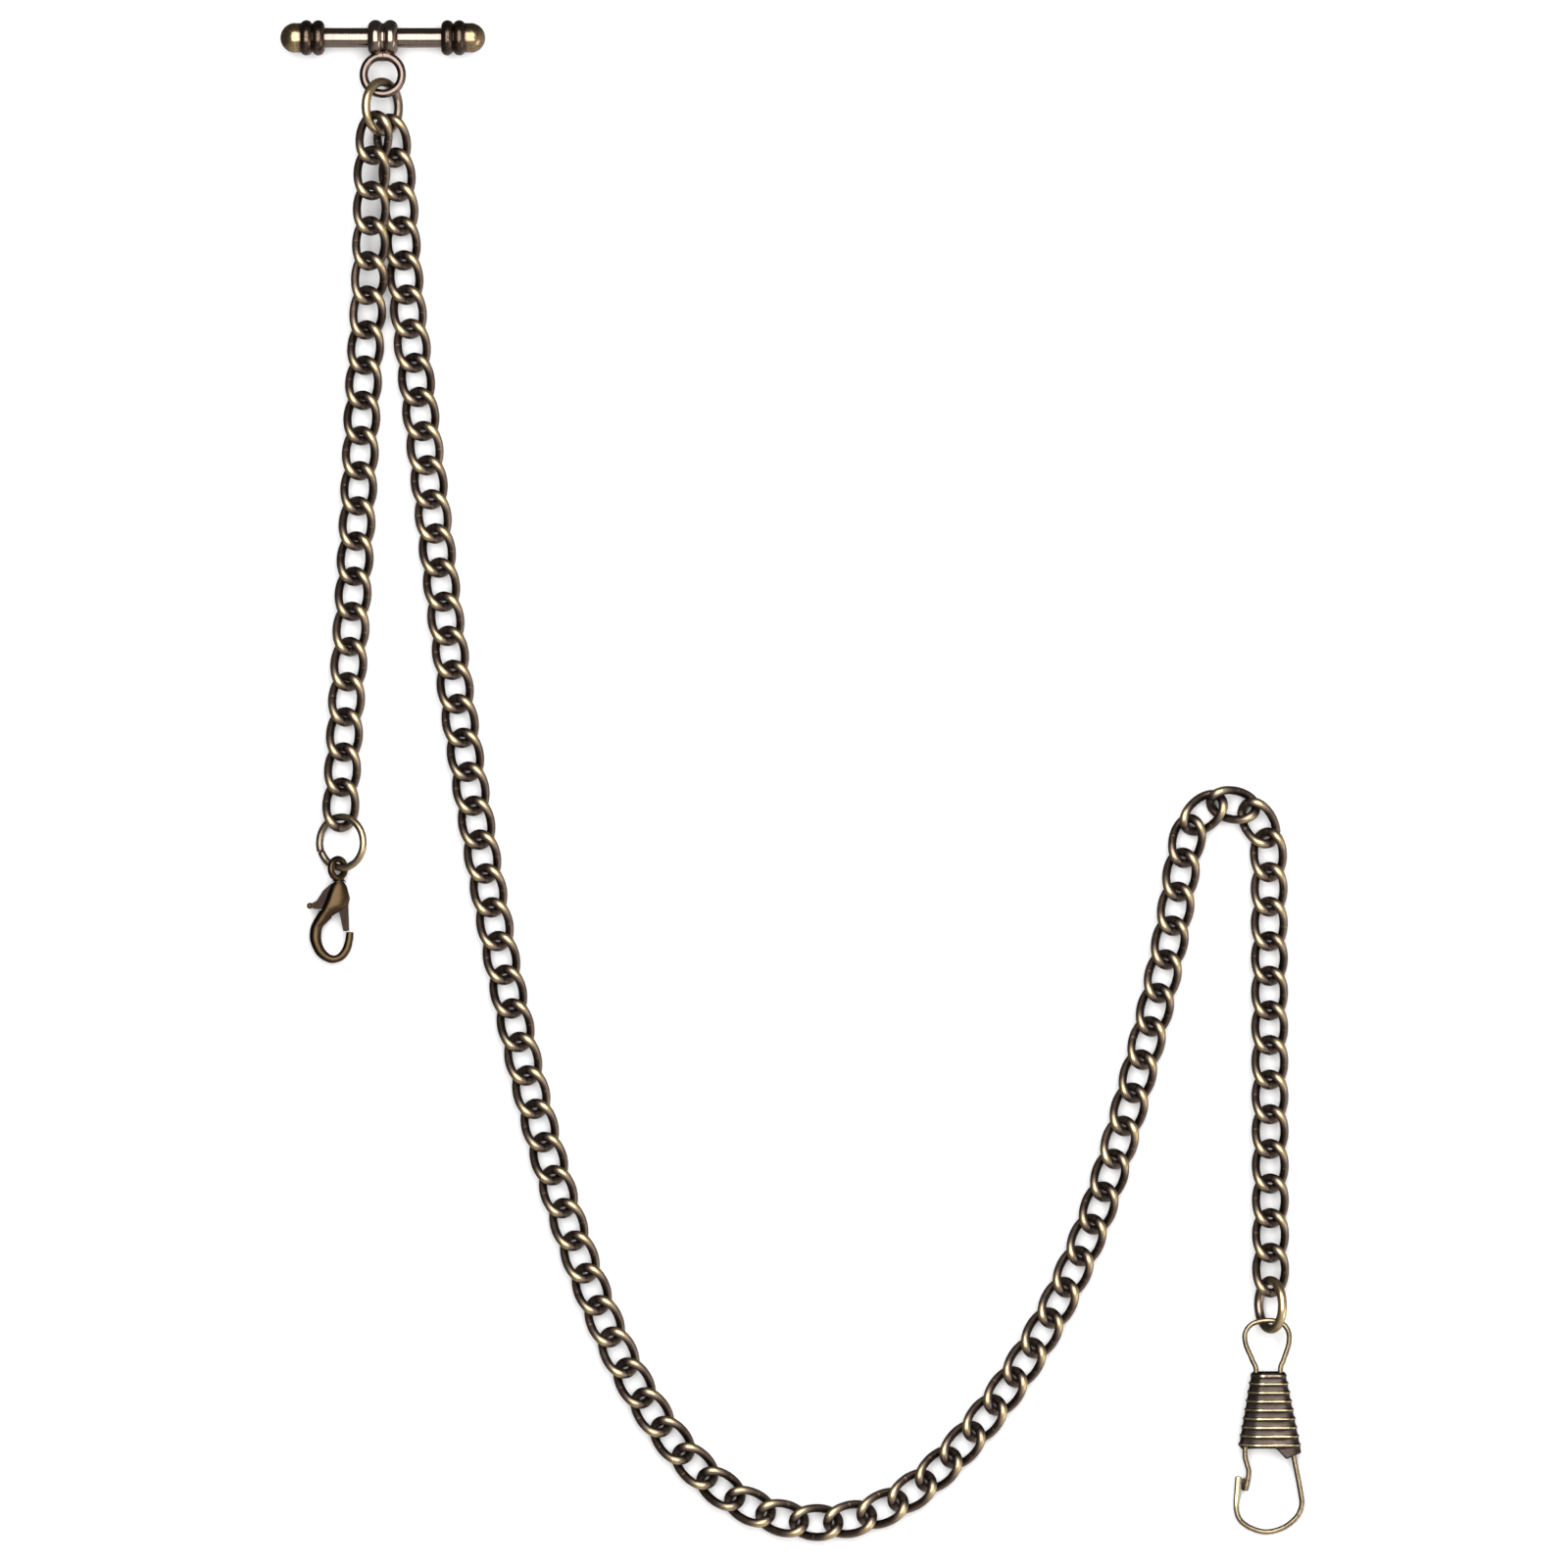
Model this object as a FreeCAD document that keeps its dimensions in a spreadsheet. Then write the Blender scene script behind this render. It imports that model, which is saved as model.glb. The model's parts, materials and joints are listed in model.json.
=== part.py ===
import FreeCAD, Part

import math
import os

import Sketcher

from FreeCAD import Placement, Rotation, Vector

# A pocket watch chain of the Albert kind, laid flat on a table: +Z is up, +Y runs from the
# lowest bight of the chain towards the T-bar, and every length is in millimetres.

AXIS_X = Vector(1, 0, 0)
AXIS_Y = Vector(0, 1, 0)
AXIS_Z = Vector(0, 0, 1)
UPRIGHT = Rotation(AXIS_Z, 0)
ALONG_X = Rotation(AXIS_Y, 90)

doc = FreeCAD.newDocument("PocketWatchChain")
sizes = doc.addObject("Spreadsheet::Sheet", "Sizes")

DIMENSIONS = [
    # T-bar
    ("bar_x", -48.05, "T-bar centre"),
    ("bar_y", 87.05, "T-bar centre"),
    ("bar_z", 2.10, "T-bar centre, resting on its beads"),
    ("rod_radius", 1.15, "plain rod of the T-bar"),
    ("rod_length", 17.20, "rod, including both ends inside the knobs"),
    ("collar_bead_outer", 2.10, "outer radius of the middle beads"),
    ("collar_bead_half", 0.875, "half width of a middle bead"),
    ("collar_core", 1.75, "radius of the groove between the middle beads"),
    ("knob_bead_outer", 2.07, "outer radius of an end bead"),
    ("knob_bead_half", 0.72, "half width of an end bead"),
    ("knob_bead_first", 7.56, "inner end bead from the middle of the bar"),
    ("knob_bead_pitch", 1.40, "distance between the two end beads"),
    ("knob_core", 1.70, "radius of the groove between the end beads"),
    ("dome_radius", 1.75, "rounded tip"),
    ("dome_centre", 10.25, "centre of the rounded tip from the middle of the bar"),
    # rings: centre-line radius, wire radius, tilt about Y, centre
    ("bar_ring_radius", 2.23, "ring soldered under the collar"),
    ("bar_ring_wire", 0.50, "its wire radius"),
    ("bar_ring_drop", 4.35, "its centre below the bar's axis"),
    ("bar_ring_rise", 0.45, "its centre above the bar's axis"),
    ("join_ring_radius", 2.93, "ring that both chains hang from"),
    ("join_ring_wire", 0.52, "its wire radius"),
    ("join_ring_tilt", 51.0, "left side up"),
    ("join_ring_x", -48.10, "centre"),
    ("join_ring_y", 78.90, "centre"),
    ("join_ring_z", 2.80, "centre"),
    ("short_ring_radius", 2.98, "ring between the short chain and the clasp"),
    ("short_ring_wire", 0.42, "its wire radius"),
    ("short_ring_tilt", -30.0, "right side up"),
    ("short_ring_x", -52.90, "centre"),
    ("short_ring_y", -7.25, "centre"),
    ("short_ring_z", 1.92, "centre"),
    ("long_ring_radius", 2.85, "ring between the long chain and the clip"),
    ("long_ring_wire", 0.54, "its wire radius"),
    ("long_ring_tilt", -63.0, "right side up"),
    ("long_ring_x", 55.95, "centre"),
    ("long_ring_y", -61.40, "centre"),
    ("long_ring_z", 3.08, "centre"),
    # curb link
    ("link_half_width", 1.68, "centre-line, across the link"),
    ("link_half_length", 2.74, "centre-line, along the link"),
    ("link_shoulder", 0.48, "how square the oval's shoulders are"),
    ("link_twist", 50.0, "each end is turned by this angle, opposite ways"),
    ("link_wire", 0.49, "wire radius"),
    ("short_pitch", 4.13, "from one interlock to the next, short chain drawn straight"),
    ("long_pitch", 4.03, "from one interlock to the next, long chain lying slack"),
    ("link_rest", 1.36, "height of a flat link's centre"),
    # lobster clasp
    ("clasp_x", -53.34, "centre of the eye"),
    ("clasp_y", -10.31, "centre of the eye"),
    ("clasp_z", 1.72, "centre of the eye"),
    ("eye_radius", 1.10, "centre-line of the eye"),
    ("eye_wire", 0.40, "its wire radius"),
    ("eye_tilt", 45.0, "left side up"),
    ("cheek_half", 1.15, "half thickness of the clasp's body"),
    ("slot_half", 0.58, "half thickness of the slot for the lever"),
    ("slot_radius", 1.70, "clear radius round the lever's pivot"),
    ("lever_half", 0.50, "half thickness of the lever"),
    ("pivot_x", 0.09, "lever's pivot from the eye"),
    ("pivot_y", -3.10, "lever's pivot from the eye"),
    ("rivet_radius", 0.32, "pivot rivet"),
    ("rivet_clearance", 0.04, "radial, in the lever"),
    ("thumb_radius", 0.37, "thumb knob of the lever"),
    ("thumb_x", -3.30, "thumb knob from the eye"),
    ("thumb_y", -4.37, "thumb knob from the eye"),
    ("coil_radius", 0.56, "torsion spring, mean radius"),
    ("coil_wire", 0.09, "torsion spring, wire radius"),
    ("coil_pocket", 0.75, "radius of the lever's pocket for the spring"),
    ("coil_pitch", 0.19, "torsion spring, per turn"),
    ("coil_turns", 1.5, "torsion spring"),
    ("coil_gap", 0.03, "between the spring and the floor of its pocket"),
    # ribbed clip
    ("clip_x", 55.89, "middle of the sleeve's wide end"),
    ("clip_y", -78.05, "middle of the sleeve's wide end"),
    ("clip_z", 1.40, "middle of the sleeve's wide end"),
    ("clip_tilt", 6.0, "loop end up"),
    ("sleeve_length", 8.76, "wide end to narrow end"),
    ("sleeve_wide_half", 3.58, "half width at the wide end"),
    ("sleeve_narrow_half", 1.95, "half width at the narrow end"),
    ("sleeve_wide_deep", 1.12, "half thickness at the wide end"),
    ("sleeve_narrow_deep", 0.90, "half thickness at the narrow end"),
    ("sleeve_lean", -0.16, "sideways offset of the narrow end"),
    ("sleeve_wall", 0.25, "sheet thickness"),
    ("sleeve_skirt", 1.45, "length of the pointed tab below the wide end"),
    ("rib_first", 0.25, "lowest rib from the wide end"),
    ("rib_pitch", 1.035, "distance between ribs"),
    ("rib_count", 8, "ribs on the sleeve"),
    ("rib_height", 0.15, "crest above the sheet"),
    ("rib_half", 0.30, "half width of a rib"),
    ("clip_wire", 0.30, "wire radius of loop, hook and gate"),
    ("catch_left", -3.26, "gate's flat catch, its edge beside the hook's tip"),
    ("catch_right", -2.62, "gate's flat catch, its edge inside the wire"),
    ("catch_low", -5.20, "gate's flat catch, lower end"),
    ("catch_high", -3.75, "gate's flat catch, upper end"),
    ("catch_half", 0.16, "gate's flat catch, half thickness"),
]

for row, (alias, value, note) in enumerate(DIMENSIONS, start=1):
    sizes.set("A%d" % row, note)
    sizes.set("B%d" % row, str(value))
    sizes.setAlias("B%d" % row, alias)
doc.recompute()


def size(alias):
    return float(getattr(sizes, alias))


def bind(feature, **expressions):
    """Tie each named property of a feature to an expression in the sheet's aliases."""
    for name, expression in expressions.items():
        feature.setExpression(name, expression)
    return feature


def torus(name, radius, wire, centre, turn):
    ring = doc.addObject("Part::Torus", name)
    bind(ring, Radius1=radius, Radius2=wire)
    ring.Placement = Placement(centre, turn)
    return ring


def cylinder(name, radius, length, start, turn):
    rod = doc.addObject("Part::Cylinder", name)
    bind(rod, Radius=radius, Height=length)
    rod.Placement = Placement(start, turn)
    return rod


def fused(name, features):
    union = doc.addObject("Part::MultiFuse", name)
    union.Shapes = features
    return union


def cut(name, base, tool):
    result = doc.addObject("Part::Cut", name)
    result.Base = base
    result.Tool = tool
    return result


nodes = []


def node(feature, label):
    """Name a finished sub-part: the label is its node and its file."""
    feature.Label = label
    nodes.append(feature)
    return feature


def solid_node(label, shape, placement):
    """A sub-part whose outline no primitive or sketch pad gives."""
    feature = doc.addObject("Part::Feature", label)
    feature.Shape = shape
    feature.Placement = placement
    return node(feature, label)


# ---------------------------------------------------------------- T-bar

bar = Vector(size("bar_x"), size("bar_y"), size("bar_z"))


def origin_plane(body, role):
    return next(feature for feature in body.Origin.OriginFeatures if feature.Role == role)


def padded_disc(label, radius, length, placement):
    """A round pin: one circle, padded by half its length each way."""
    body = doc.addObject("PartDesign::Body", label)
    sketch = body.newObject("Sketcher::SketchObject", label + "_circle")
    sketch.AttachmentSupport = (origin_plane(body, "XY_Plane"), [""])
    sketch.MapMode = "FlatFace"
    sketch.addGeometry(Part.Circle(Vector(0, 0, 0), AXIS_Z, 1.0), False)
    sketch.addConstraint(Sketcher.Constraint("Coincident", 0, 3, -1, 1))
    sketch.addConstraint(Sketcher.Constraint("Radius", 0, 1.0))
    sketch.setExpression("Constraints[1]", radius)
    pad = body.newObject("PartDesign::Pad", label + "_pad")
    pad.Profile = sketch
    pad.Midplane = True
    pad.setExpression("Length", length)
    body.Placement = placement
    return node(body, label)


padded_disc("t_bar_rod", "Sizes.rod_radius", "Sizes.rod_length", Placement(bar, ALONG_X))

collar_beads = []
for side in (-1, 1):
    centre = bar + AXIS_X * (side * size("collar_bead_half"))
    collar_beads.append(torus("collar_bead", "Sizes.collar_bead_outer - Sizes.collar_bead_half",
                              "Sizes.collar_bead_half", centre, ALONG_X))
collar_core = cylinder("collar_core", "Sizes.collar_core", "2 * Sizes.collar_bead_half",
                       bar - AXIS_X * size("collar_bead_half"), ALONG_X)
collar_bore = cylinder("collar_bore", "Sizes.rod_radius", "6 * Sizes.collar_bead_half",
                       bar - AXIS_X * (3 * size("collar_bead_half")), ALONG_X)
collar = cut("collar", fused("collar_blank", collar_beads + [collar_core]), collar_bore)
node(collar, "t_bar_collar")


def end_knob(label, turn):
    """Two beads and a domed tip, bored to take the end of the rod."""
    pieces = []
    for step in range(2):
        offset = size("knob_bead_first") + step * size("knob_bead_pitch")
        pieces.append(torus("knob_bead", "Sizes.knob_bead_outer - Sizes.knob_bead_half",
                            "Sizes.knob_bead_half", AXIS_X * offset, ALONG_X))
    pieces.append(cylinder("knob_core", "Sizes.knob_core",
                           "Sizes.dome_centre - Sizes.knob_bead_first",
                           AXIS_X * size("knob_bead_first"), ALONG_X))
    dome = doc.addObject("Part::Sphere", "knob_dome")
    bind(dome, Radius="Sizes.dome_radius")
    dome.Placement = Placement(AXIS_X * size("dome_centre"), UPRIGHT)
    pieces.append(dome)
    socket = cylinder("knob_socket", "Sizes.rod_radius", "Sizes.rod_length / 2", Vector(0, 0, 0), ALONG_X)
    knob = cut("knob", fused("knob_blank", pieces), socket)
    knob.Placement = Placement(bar, turn)
    return node(knob, label)


end_knob("t_bar_left_knob", Rotation(AXIS_Z, 180))
end_knob("t_bar_right_knob", UPRIGHT)
node(torus("bar_ring", "Sizes.bar_ring_radius", "Sizes.bar_ring_wire",
           bar - AXIS_Y * size("bar_ring_drop") + AXIS_Z * size("bar_ring_rise"), UPRIGHT), "t_bar_ring")

# ---------------------------------------------------------------- rings


def tilted_ring(label, prefix):
    centre = Vector(size(prefix + "_x"), size(prefix + "_y"), size(prefix + "_z"))
    turn = Rotation(AXIS_Y, size(prefix + "_tilt"))
    return node(torus(prefix, "Sizes.%s_radius" % prefix, "Sizes.%s_wire" % prefix, centre, turn),
                label)


tilted_ring("connecting_ring", "join_ring")
tilted_ring("short_chain_end_ring", "short_ring")
tilted_ring("long_chain_end_ring", "long_ring")

# ---------------------------------------------------------------- chain links

LINK_SECTIONS = 24


def link_point(angle):
    """A point of the link's centre line: an oval whose two ends are twisted opposite ways."""
    across = size("link_half_width") * math.cos(angle) * (1 + size("link_shoulder") * math.sin(angle) ** 2)
    along = size("link_half_length") * math.sin(angle)
    twist = math.radians(size("link_twist")) * math.sin(angle)
    return Vector(across * math.cos(twist), along, across * math.sin(twist))


def curb_link():
    """One link: a closed loft through evenly spaced circles on the centre line."""
    curve = Part.BSplineCurve()
    points = [link_point(2 * math.pi * step / LINK_SECTIONS) for step in range(LINK_SECTIONS)]
    curve.interpolate(Points=points, PeriodicFlag=True)
    circles = []
    span = curve.LastParameter - curve.FirstParameter
    for step in range(LINK_SECTIONS):
        parameter = curve.FirstParameter + span * step / LINK_SECTIONS
        heading = curve.tangent(parameter)[0]
        circles.append(Part.Wire(Part.Circle(curve.value(parameter), heading, size("link_wire")).toShape()))
    return Part.makeLoft(circles, True, False, True)


def spline(points):
    curve = Part.BSplineCurve()
    curve.interpolate(Points=[Vector(*point) for point in points])
    return curve


def steps_along(curve, pitch, count):
    """Points on a curve, each one pitch from the last in a straight line."""
    points = [curve.value(curve.FirstParameter)]
    parameter = curve.FirstParameter
    for _ in range(count):
        low, high = parameter, parameter
        while curve.value(high).distanceToPoint(points[-1]) < pitch:
            high += 0.002 * (curve.LastParameter - curve.FirstParameter)
        for _ in range(40):
            middle = (low + high) / 2
            if curve.value(middle).distanceToPoint(points[-1]) < pitch:
                low = middle
            else:
                high = middle
        parameter = high
        points.append(curve.value(high))
    return points


def steps_by_heading(start, headings, pitch):
    """Points from a start, one pitch apart, each along its own heading in the XY plane."""
    points = [start]
    for heading in headings:
        angle = math.radians(heading)
        points.append(points[-1] + Vector(math.cos(angle) * pitch, math.sin(angle) * pitch, 0))
    return points


def steps_to(start, end, count):
    return [start + (end - start) * ((step + 1) / count) for step in range(count)]


def link_placement(start, end):
    """A link between two interlocks: its length along them, its flat side up."""
    along = (end - start).normalize()
    across = along.cross(AXIS_Z).normalize()
    up = across.cross(along)
    return Placement((start + end) / 2, Rotation(across, along, up, "ZXY"))


def chain_nodes(prefix, interlocks, groups):
    """Join the links of each group in one node, as separate interlocked solids."""
    first = 0
    for number, count in enumerate(groups, start=1):
        places = [link_placement(interlocks[index], interlocks[index + 1])
                  for index in range(first, first + count)]
        home = places[0]
        links = []
        for place in places:
            link = LINK.copy()
            link.Placement = home.inverse().multiply(place)
            links.append(link)
        label = "%s_%02d" % (prefix, number)
        solid_node(label, Part.makeCompound(links), home)
        first += count


LINK = curb_link()
SHORT_PITCH = size("short_pitch")
LONG_PITCH = size("long_pitch")
REST = size("link_rest")

# The short chain runs almost straight down, and its first links lie over the long chain.
SHORT_ROUTE = [(-48.80, 77.30, 4.25), (-49.25, 72.60, 4.20), (-49.35, 66.40, 4.00), (-49.50, 61.60, 3.45),
               (-49.65, 57.50, 2.40), (-49.90, 53.50, 1.50), (-50.20, 49.00, REST), (-50.80, 36.30, REST),
               (-51.85, 17.00, REST), (-52.80, 1.30, REST), (-53.10, -5.20, 1.60)]
SHORT_LINKS = 20
SHORT_GROUPS = [2] * 10

# The long chain makes a U, then an arch, and ends with a straight run down to the clip.
LONG_ROUTE = [(-47.35, 77.00, 1.55), (-46.60, 72.90, REST), (-45.80, 62.80, REST), (-43.60, 42.70, REST),
              (-40.10, 14.50, REST), (-36.30, -9.50, REST), (-30.50, -37.30, REST), (-23.30, -60.40, REST),
              (-13.80, -77.80, REST), (-4.80, -85.30, REST), (2.90, -87.10, REST), (10.70, -85.40, REST),
              (20.10, -77.70, REST), (29.40, -64.50, REST), (36.00, -49.70, REST), (40.50, -34.40, REST),
              (44.20, -18.90, REST), (45.80, -8.90, REST), (46.50, -4.00, REST)]
LONG_ROUTE_LINKS = 68
ARCH_HEADINGS = [78, 41, -11, -59, -88]
LONG_END = Vector(56.00, -59.40, 2.10)
LONG_END_LINKS = 12
LONG_GROUPS = [3] * 22 + [2] + [1] * 5 + [3] * 4

short_interlocks = steps_along(spline(SHORT_ROUTE), SHORT_PITCH, SHORT_LINKS)
chain_nodes("short_chain", short_interlocks, SHORT_GROUPS)

long_interlocks = steps_along(spline(LONG_ROUTE), LONG_PITCH, LONG_ROUTE_LINKS)
long_interlocks += steps_by_heading(long_interlocks[-1], ARCH_HEADINGS, LONG_PITCH)[1:]
long_interlocks += steps_to(long_interlocks[-1], LONG_END, LONG_END_LINKS)
chain_nodes("long_chain", long_interlocks, LONG_GROUPS)

# ---------------------------------------------------------------- shapes for cast and bent pieces


def prism(outline, low, high):
    """A closed outline of straight sides, extruded from one height to another."""
    points = [Vector(x, y, low) for x, y in outline]
    face = Part.Face(Part.makePolygon(points + points[:1]))
    return face.extrude(AXIS_Z * (high - low))


def smooth_prism(outline, low, high):
    """A closed smooth outline, extruded from one height to another."""
    curve = Part.BSplineCurve()
    curve.interpolate(Points=[Vector(x, y, low) for x, y in outline], PeriodicFlag=True)
    face = Part.Face(Part.Wire(curve.toShape()))
    return face.extrude(AXIS_Z * (high - low))


def tapered_wire(stations, sections):
    """A round bar through (x, y, radius) stations, lofted through evenly spaced circles."""
    curve = Part.BSplineCurve()
    curve.interpolate(Points=[Vector(x, y, radius) for x, y, radius in stations])
    circles = []
    for step in range(sections + 1):
        parameter = curve.FirstParameter + (curve.LastParameter - curve.FirstParameter) * step / sections
        point = curve.value(parameter)
        heading = curve.tangent(parameter)[0]
        centre = Vector(point.x, point.y, 0)
        circles.append(Part.Wire(Part.Circle(centre, Vector(heading.x, heading.y, 0), point.z).toShape()))
    return Part.makeLoft(circles, True, False)


def even_wire(route, radius):
    """A round wire of one radius, swept along a smooth route in the XY plane."""
    curve = spline([(x, y, 0) for x, y in route])
    heading = curve.tangent(curve.FirstParameter)[0]
    start = curve.value(curve.FirstParameter)
    section = Part.Wire(Part.Circle(start, heading, radius).toShape())
    return Part.Wire(curve.toShape()).makePipeShell([section], True, False)


# ---------------------------------------------------------------- lobster clasp

clasp_place = Placement(Vector(size("clasp_x"), size("clasp_y"), size("clasp_z")), UPRIGHT)
clasp_sink = size("cheek_half") + 0.05 - size("clasp_z")
pivot = Vector(size("pivot_x"), size("pivot_y"), clasp_sink)

CHEEK = [(-0.48, -0.95), (0.55, -0.95), (1.07, -1.61), (1.33, -2.88), (1.29, -4.03), (0.95, -4.72),
         (-0.02, -5.20), (-0.83, -5.80), (-1.45, -6.60), (-2.30, -6.21), (-1.95, -4.95),
         (-1.40, -3.22), (-0.94, -1.84)]
HOOK = [(-1.40, -4.90, 0.82), (-1.95, -5.64, 0.80), (-2.55, -7.02, 0.73), (-2.61, -8.40, 0.68),
        (-2.09, -9.66, 0.57), (-1.29, -10.41, 0.49), (-0.48, -10.65, 0.45), (0.38, -10.29, 0.46),
        (1.01, -9.43, 0.47), (1.28, -8.40, 0.47), (1.38, -7.56, 0.45)]
HOOK_SECTIONS = 40
LEVER = [(-0.76, -1.74), (-1.75, -2.60), (-2.50, -3.80), (-3.20, -4.15), (-3.20, -4.60), (-2.60, -4.75),
         (-1.60, -4.70), (-0.40, -4.45), (0.15, -5.00), (0.62, -7.35), (1.30, -7.30), (1.25, -5.50),
         (1.20, -4.30), (1.40, -3.50), (1.00, -2.00), (0.10, -1.55)]
SLOT = [(-4.50, -4.95), (-4.50, -1.60), (-0.60, -1.60), (0.10, -3.00), (2.00, -3.00), (2.00, -7.45),
        (-0.75, -7.45), (-0.75, -4.95)]


def clasp_casting():
    """Eye, two cheeks and hook in one casting, slotted for the lever."""
    half = size("cheek_half")
    cheeks = smooth_prism(CHEEK, -half, half)
    hook = tapered_wire(HOOK, HOOK_SECTIONS)
    cheeks.translate(AXIS_Z * clasp_sink)
    hook.translate(AXIS_Z * clasp_sink)
    slot = prism(SLOT, -size("slot_half"), size("slot_half"))
    slot.translate(AXIS_Z * clasp_sink)
    round_slot = Part.makeCylinder(size("slot_radius"), 2 * size("slot_half"),
                                   pivot - AXIS_Z * size("slot_half"))
    bore = Part.makeCylinder(size("rivet_radius"), 4 * half, pivot - AXIS_Z * (2 * half))
    eye = Part.makeTorus(size("eye_radius"), size("eye_wire"))
    eye.Placement = Placement(Vector(0, 0, 0), Rotation(AXIS_Y, size("eye_tilt")))
    hook_end = hook.cut(slot)
    body = cheeks.cut(slot).cut(round_slot).cut(bore)
    return eye.fuse([body, hook_end])


def clasp_lever():
    """Thumb knob and gate in one flat lever, with a round pocket for its spring."""
    half = size("lever_half")
    plate = prism(LEVER, -half, half)
    plate.translate(AXIS_Z * clasp_sink)
    thumb = Part.makeSphere(size("thumb_radius"), Vector(size("thumb_x"), size("thumb_y"), clasp_sink))
    hole = Part.makeCylinder(size("rivet_radius") + size("rivet_clearance"), 4 * half,
                             pivot - AXIS_Z * (2 * half))
    pocket = Part.makeCylinder(size("coil_pocket"), half, pivot)
    return plate.fuse(thumb).cut(hole).cut(pocket)


def torsion_coil():
    height = size("coil_pitch") * size("coil_turns")
    helix = Part.makeHelix(size("coil_pitch"), height, size("coil_radius"))
    start = Vector(size("coil_radius"), 0, 0)
    section = Part.Wire(Part.Circle(start, AXIS_Y, size("coil_wire")).toShape())
    coil = Part.Wire(helix).makePipeShell([section], True, True)
    coil.translate(pivot + AXIS_Z * (size("coil_wire") + size("coil_gap")))
    return Part.makeCompound([coil])


solid_node("clasp_body", clasp_casting(), clasp_place)
solid_node("clasp_lever", clasp_lever(), clasp_place)
solid_node("clasp_spring", torsion_coil(), clasp_place)
padded_disc("clasp_rivet", "Sizes.rivet_radius", "2 * Sizes.cheek_half",
            clasp_place.multiply(Placement(pivot, UPRIGHT)))

# ---------------------------------------------------------------- ribbed clip

clip_place = Placement(Vector(size("clip_x"), size("clip_y"), size("clip_z")),
                       Rotation(AXIS_X, size("clip_tilt")))

# The loop, the hook and both legs are one wire, from the hook's tip to the left leg's end.
FRAME_ROUTE = [(-3.65, -3.68), (-3.75, -5.52), (-3.88, -7.25), (-3.45, -8.68), (-2.19, -9.66),
               (-0.35, -10.15), (1.61, -9.66), (3.20, -8.40), (3.80, -7.00), (3.66, -5.40),
               (2.80, -0.92), (2.00, 4.00), (1.25, 8.70), (1.60, 10.20), (2.20, 12.10), (2.15, 13.60),
               (1.30, 14.60), (-0.38, 14.90), (-2.05, 14.50), (-2.90, 13.40), (-2.80, 12.00),
               (-2.05, 10.20), (-1.60, 8.70), (-2.20, 4.50), (-2.75, 0.80)]
GATE_ROUTE = [(-2.82, 0.40), (-2.86, -1.20), (-2.60, -2.25), (-2.42, -3.00), (-2.53, -4.03), (-2.76, -5.15)]
SKIRT = [(-5.00, 0.00), (0.20, 0.00), (1.27, -1.38), (2.30, -0.98), (3.50, -0.75), (5.00, -0.70),
         (5.00, -4.00), (-5.00, -4.00)]


SKIRT_REACH = 5.0
# A rib's outline: how far along its half width, and how far up its height.
RIB_OUTLINE = ((-1.0, 0.0), (-0.5, 0.7), (0.0, 1.0), (0.5, 0.7), (1.0, 0.0))


def sleeve_section(height, swell):
    """The sleeve's oval at one height, grown by a rib's swell."""
    share = height / size("sleeve_length")
    wide = size("sleeve_wide_half") + share * (size("sleeve_narrow_half") - size("sleeve_wide_half"))
    deep = size("sleeve_wide_deep") + share * (size("sleeve_narrow_deep") - size("sleeve_wide_deep"))
    oval = Part.Wire(Part.Ellipse(Vector(0, 0, 0), wide + swell, deep + swell).toShape())
    centre = Vector(share * size("sleeve_lean"), height, 0)
    oval.Placement = Placement(centre, Rotation(AXIS_X, 90))
    return oval


def sleeve():
    """A tapered oval tube with raised ribs, a collar at the top and a pointed tab at the bottom."""
    outer = [sleeve_section(-size("sleeve_skirt"), 0)]
    crests = [size("rib_first") + rib * size("rib_pitch") for rib in range(int(size("rib_count")))]
    crests.append(size("sleeve_length") - size("rib_half"))
    for crest in crests:
        for share, rise in RIB_OUTLINE:
            outer.append(sleeve_section(crest + share * size("rib_half"), rise * size("rib_height")))
    blank = Part.makeLoft(outer, True, True)
    inside = [sleeve_section(-2 * size("sleeve_skirt"), -size("sleeve_wall")),
              sleeve_section(size("sleeve_length") + 1, -size("sleeve_wall"))]
    return blank.cut(Part.makeLoft(inside, True, True)).cut(prism(SKIRT, -SKIRT_REACH, SKIRT_REACH))


solid_node("clip_sleeve", sleeve(), clip_place)
solid_node("clip_frame_wire", even_wire(FRAME_ROUTE, size("clip_wire")), clip_place)


def gate():
    """The sprung wire with its end pressed out to a flat catch beside the hook's tip."""
    catch = Part.makeBox(size("catch_right") - size("catch_left"), size("catch_high") - size("catch_low"),
                         2 * size("catch_half"),
                         Vector(size("catch_left"), size("catch_low"), -size("catch_half")))
    return even_wire(GATE_ROUTE, size("clip_wire")).fuse(catch)


solid_node("clip_gate_wire", gate(), clip_place)

# ---------------------------------------------------------------- check and write

doc.recompute()

for feature in doc.Objects:
    if "Invalid" in feature.State or "Error" in feature.State:
        raise RuntimeError("%s did not recompute: %s" % (feature.Label, feature.State))

for feature in nodes:
    shape = feature.Shape
    if shape.isNull() or not shape.isValid() or not shape.Solids:
        raise RuntimeError("%s has no valid solid" % feature.Label)

os.makedirs("parts", exist_ok=True)
for feature in nodes:
    feature.Shape.exportStep("parts/%s.step" % feature.Label)
    print("%-24s solids %d  volume %.2f mm3" % (feature.Label, len(feature.Shape.Solids), feature.Shape.Volume))

whole = Part.makeCompound([feature.Shape for feature in nodes]).BoundBox
print("nodes %d, box X %.2f..%.2f Y %.2f..%.2f Z %.2f..%.2f" % (
    len(nodes), whole.XMin, whole.XMax, whole.YMin, whole.YMax, whole.ZMin, whole.ZMax))
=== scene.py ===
import json
import math

import bpy
import numpy as np
from mathutils import Matrix, Vector
from mathutils.bvhtree import BVHTree


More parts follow.
